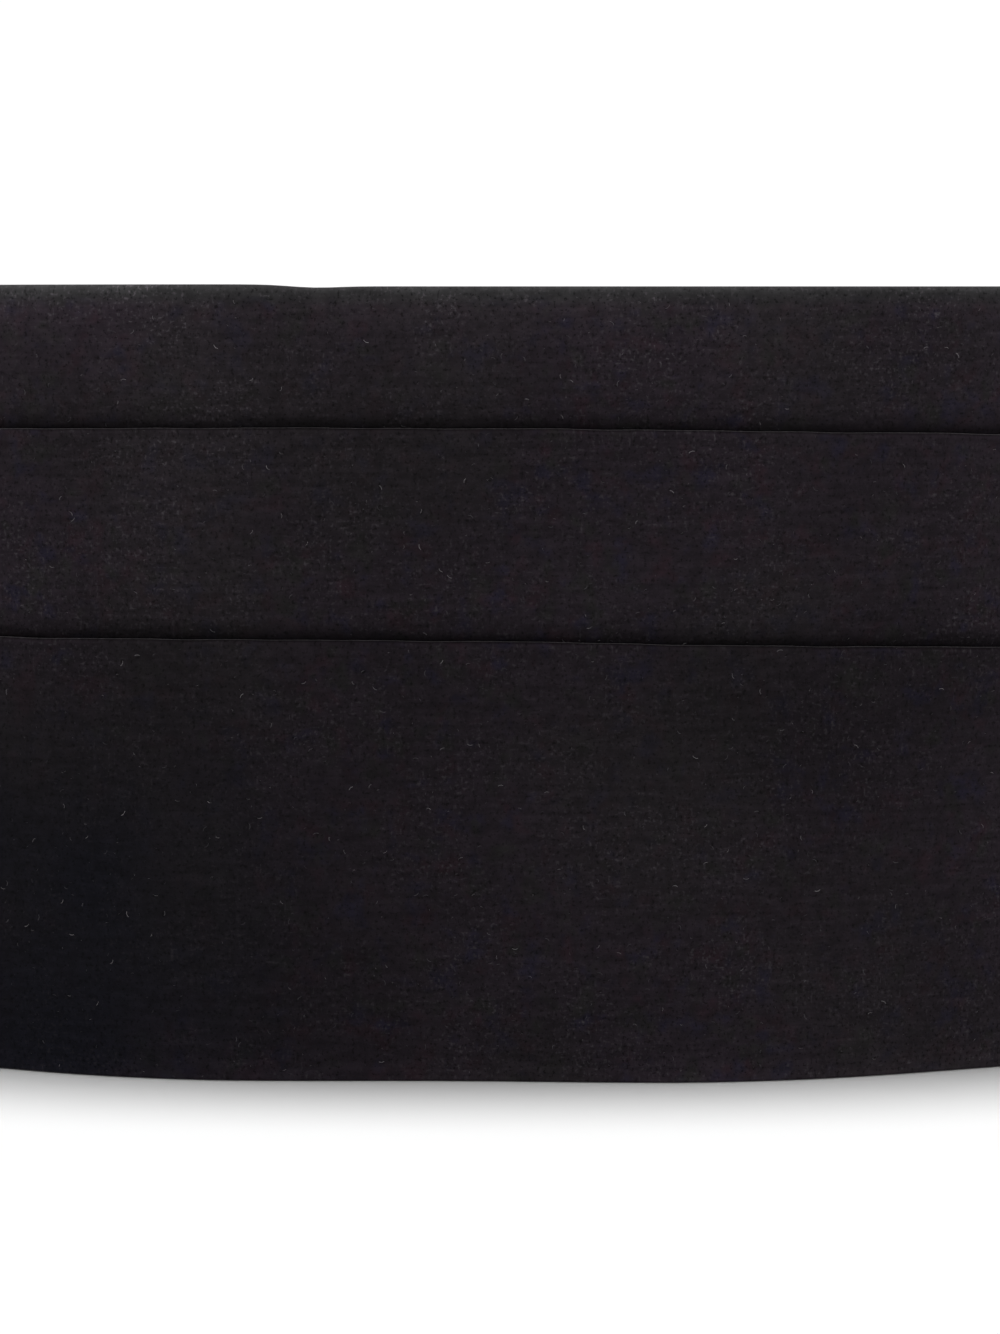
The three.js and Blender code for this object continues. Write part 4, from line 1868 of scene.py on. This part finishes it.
@dataclass(frozen=True)
class Studio:
    """The white table and ground, the soft lights and the camera."""

    band_height: float
    front_y: float
    camera_distance: float = 780 * MM
    camera_tilt: float = 4.508
    focal_pixels: float = 4821.0
    image_height: float = 1334.0
    sensor: float = 36.0
    nearest: float = 0.01
    furthest: float = 50.0
    lamps: tuple[Lamp, ...] = (
        Lamp("key", (0.0, 0.295, 2.4), 1.108, 58.0),
        Lamp("fill", (0.45, -2.0, 0.5), 1.2, 15.0),
        Lamp("back_fill", (0.5, 2.4, 0.8), 1.2, 14.0),
    )
    ambient: float = 0.3
    table_radius: float = 6.0
    table_corners: int = 96
    table_white: float = 0.8
    glow_span: Span = (0.26, 0.5, 0.0, 1.0)
    surround_radius: float = 9.0
    surround_rings: int = 24
    surround_glow: float = 1.05

    def camera(self) -> None:
        """Makes the camera, level with the band's upper edge and turned a little down."""
        data = bpy.data.cameras.new("camera")
        data.sensor_width = self.sensor
        data.lens = self.sensor * self.focal_pixels / self.image_height
        data.clip_start, data.clip_end = self.nearest, self.furthest
        camera = new_object("camera", data)
        camera.location = (0.0, self.front_y - self.camera_distance, self.band_height)
        camera.rotation_euler = (QUARTER - math.radians(self.camera_tilt), 0.0, 0.0)
        bpy.context.scene.camera = camera

    @staticmethod
    def glow(graph: Graph, strength: float = 1.0) -> Socket:
        """A plain white glow of a strength."""
        return graph.out("ShaderNodeEmission", {"Color": (1, 1, 1, 1), "Strength": strength})

    def table_finish(self) -> bpy.types.Material:
        """White table top that takes the shadow near the band and glows white further out.

        Returns:
            The material.
        """
        material, graph = new_material("white_table")
        away = graph.add("ShaderNodeVectorMath", {0: graph.place()}, operation="LENGTH").outputs[1]
        paint = graph.out("ShaderNodeBsdfDiffuse", {"Color": (*[self.table_white] * 3, 1)})
        share = graph.rescale(away, *self.glow_span)
        surface = graph.out("ShaderNodeMixShader", {0: share, 1: paint, 2: self.glow(graph)})
        graph.add("ShaderNodeOutputMaterial", {"Surface": surface})
        return material

    def ground(self) -> None:
        """Makes the table and the white surroundings, which only the camera sees."""
        bpy.ops.mesh.primitive_circle_add(
            vertices=self.table_corners, radius=self.table_radius, fill_type="NGON"
        )
        table = bpy.context.object
        table.name = "table"
        table.data.materials.append(self.table_finish())
        rings = self.surround_rings
        bpy.ops.mesh.primitive_uv_sphere_add(
            segments=2 * rings, ring_count=rings, radius=self.surround_radius
        )
        surround = bpy.context.object
        surround.name = "white_surround"
        white, graph = new_material("white_ground")
        graph.add("ShaderNodeOutputMaterial", {"Surface": self.glow(graph, self.surround_glow)})
        surround.data.materials.append(white)
        for kind in ("diffuse", "glossy", "transmission", "shadow"):
            setattr(surround, f"visible_{kind}", False)

    def light(self, lamp: Lamp) -> None:
        """Hangs a light that faces the band.

        Args:
            lamp: The light.
        """
        data = bpy.data.lights.new(lamp.name, "AREA")
        data.shape = "DISK"
        data.size = lamp.size
        data.energy = lamp.watts
        made = new_object(lamp.name, data)
        made.location = Vector(lamp.place) + Vector((0.0, self.front_y, 0.0))
        aim = Vector((0.0, self.front_y, self.band_height / 2)) - made.location
        made.rotation_euler = aim.to_track_quat("-Z", "Y").to_euler()
        made.visible_camera = False

    def build(self) -> None:
        """Sets the whole studio up."""
        self.camera()
        self.ground()
        for lamp in self.lamps:
            self.light(lamp)
        world = bpy.data.worlds.new("surroundings")
        world.use_nodes = True
        graph = Graph(world.node_tree)
        white = graph.out("ShaderNodeBackground", {"Color": (1, 1, 1, 1), "Strength": self.ambient})
        graph.add("ShaderNodeOutputWorld", {"Surface": white})
        bpy.context.scene.world = world
        view = bpy.context.scene.view_settings
        view.view_transform = "Standard"
        view.look = "None"
        view.exposure = 0.0
        view.gamma = 1.0


def report(label: str, *pieces: Piece) -> None:
    """Logs how fine each piece's mesh is.

    Args:
        label: The sub-assembly's name.
        pieces: Its pieces.
    """
    for piece in pieces:
        triangles = sum(len(face.vertices) - 2 for face in piece.data.polygons)
        LOG.info("%s: %s, %d triangles", label, piece.name, triangles)


def main() -> None:
    """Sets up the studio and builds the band's pieces in order."""
    logging.basicConfig(level=logging.INFO, format="%(name)s: %(message)s")
    front_low, front_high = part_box("pleated_front")
    slide_low, slide_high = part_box("back_slide")
    Studio(band_height=front_high.z, front_y=front_low.y).build()

    loop = WaistLoop(middle_y=front_low.y + BandPlan.stack + WaistLoop.depth / 2)
    plan = BandPlan(loop.length, front_high.z, (slide_low.z + slide_high.z) / 2)
    loop_curve = loop.curve()
    shop = Workshop(plan, loop, loop_curve, Wrapper().group())
    seams = SeamPlan(plan)

    pleats = PleatedFront(shop)
    front = pleats.build()
    hem_stitches = Stitching(shop, "hem_stitches").build(front, seams.hems(pleats), Slot.CLOTH)
    lint = Lint(shop).build(front)
    pleats.declare(front, [hem_stitches, lint])
    report("front", front, hem_stitches, lint)
    for side in Side:
        tab = EndTab(shop, side)
        cloth = tab.build()
        stitches = Stitching(shop, f"tab_stitches_{side.word}").build(cloth, seams.tab(tab), Slot.CLOTH)
        tab.declare(cloth, [stitches])
        report("tab", cloth, stitches)
        webbing = BackStrap(shop, side).build()
        sewing = Stitching(shop, f"strap_stitches_{side.word}")
        stitches = sewing.build(webbing, seams.strap(side), Slot.WEBBING)
        report("strap", webbing, stitches)
    report("slide", BackSlide(shop).build())
    bpy.data.objects.remove(loop_curve)


if __name__ == "__main__":
    main()
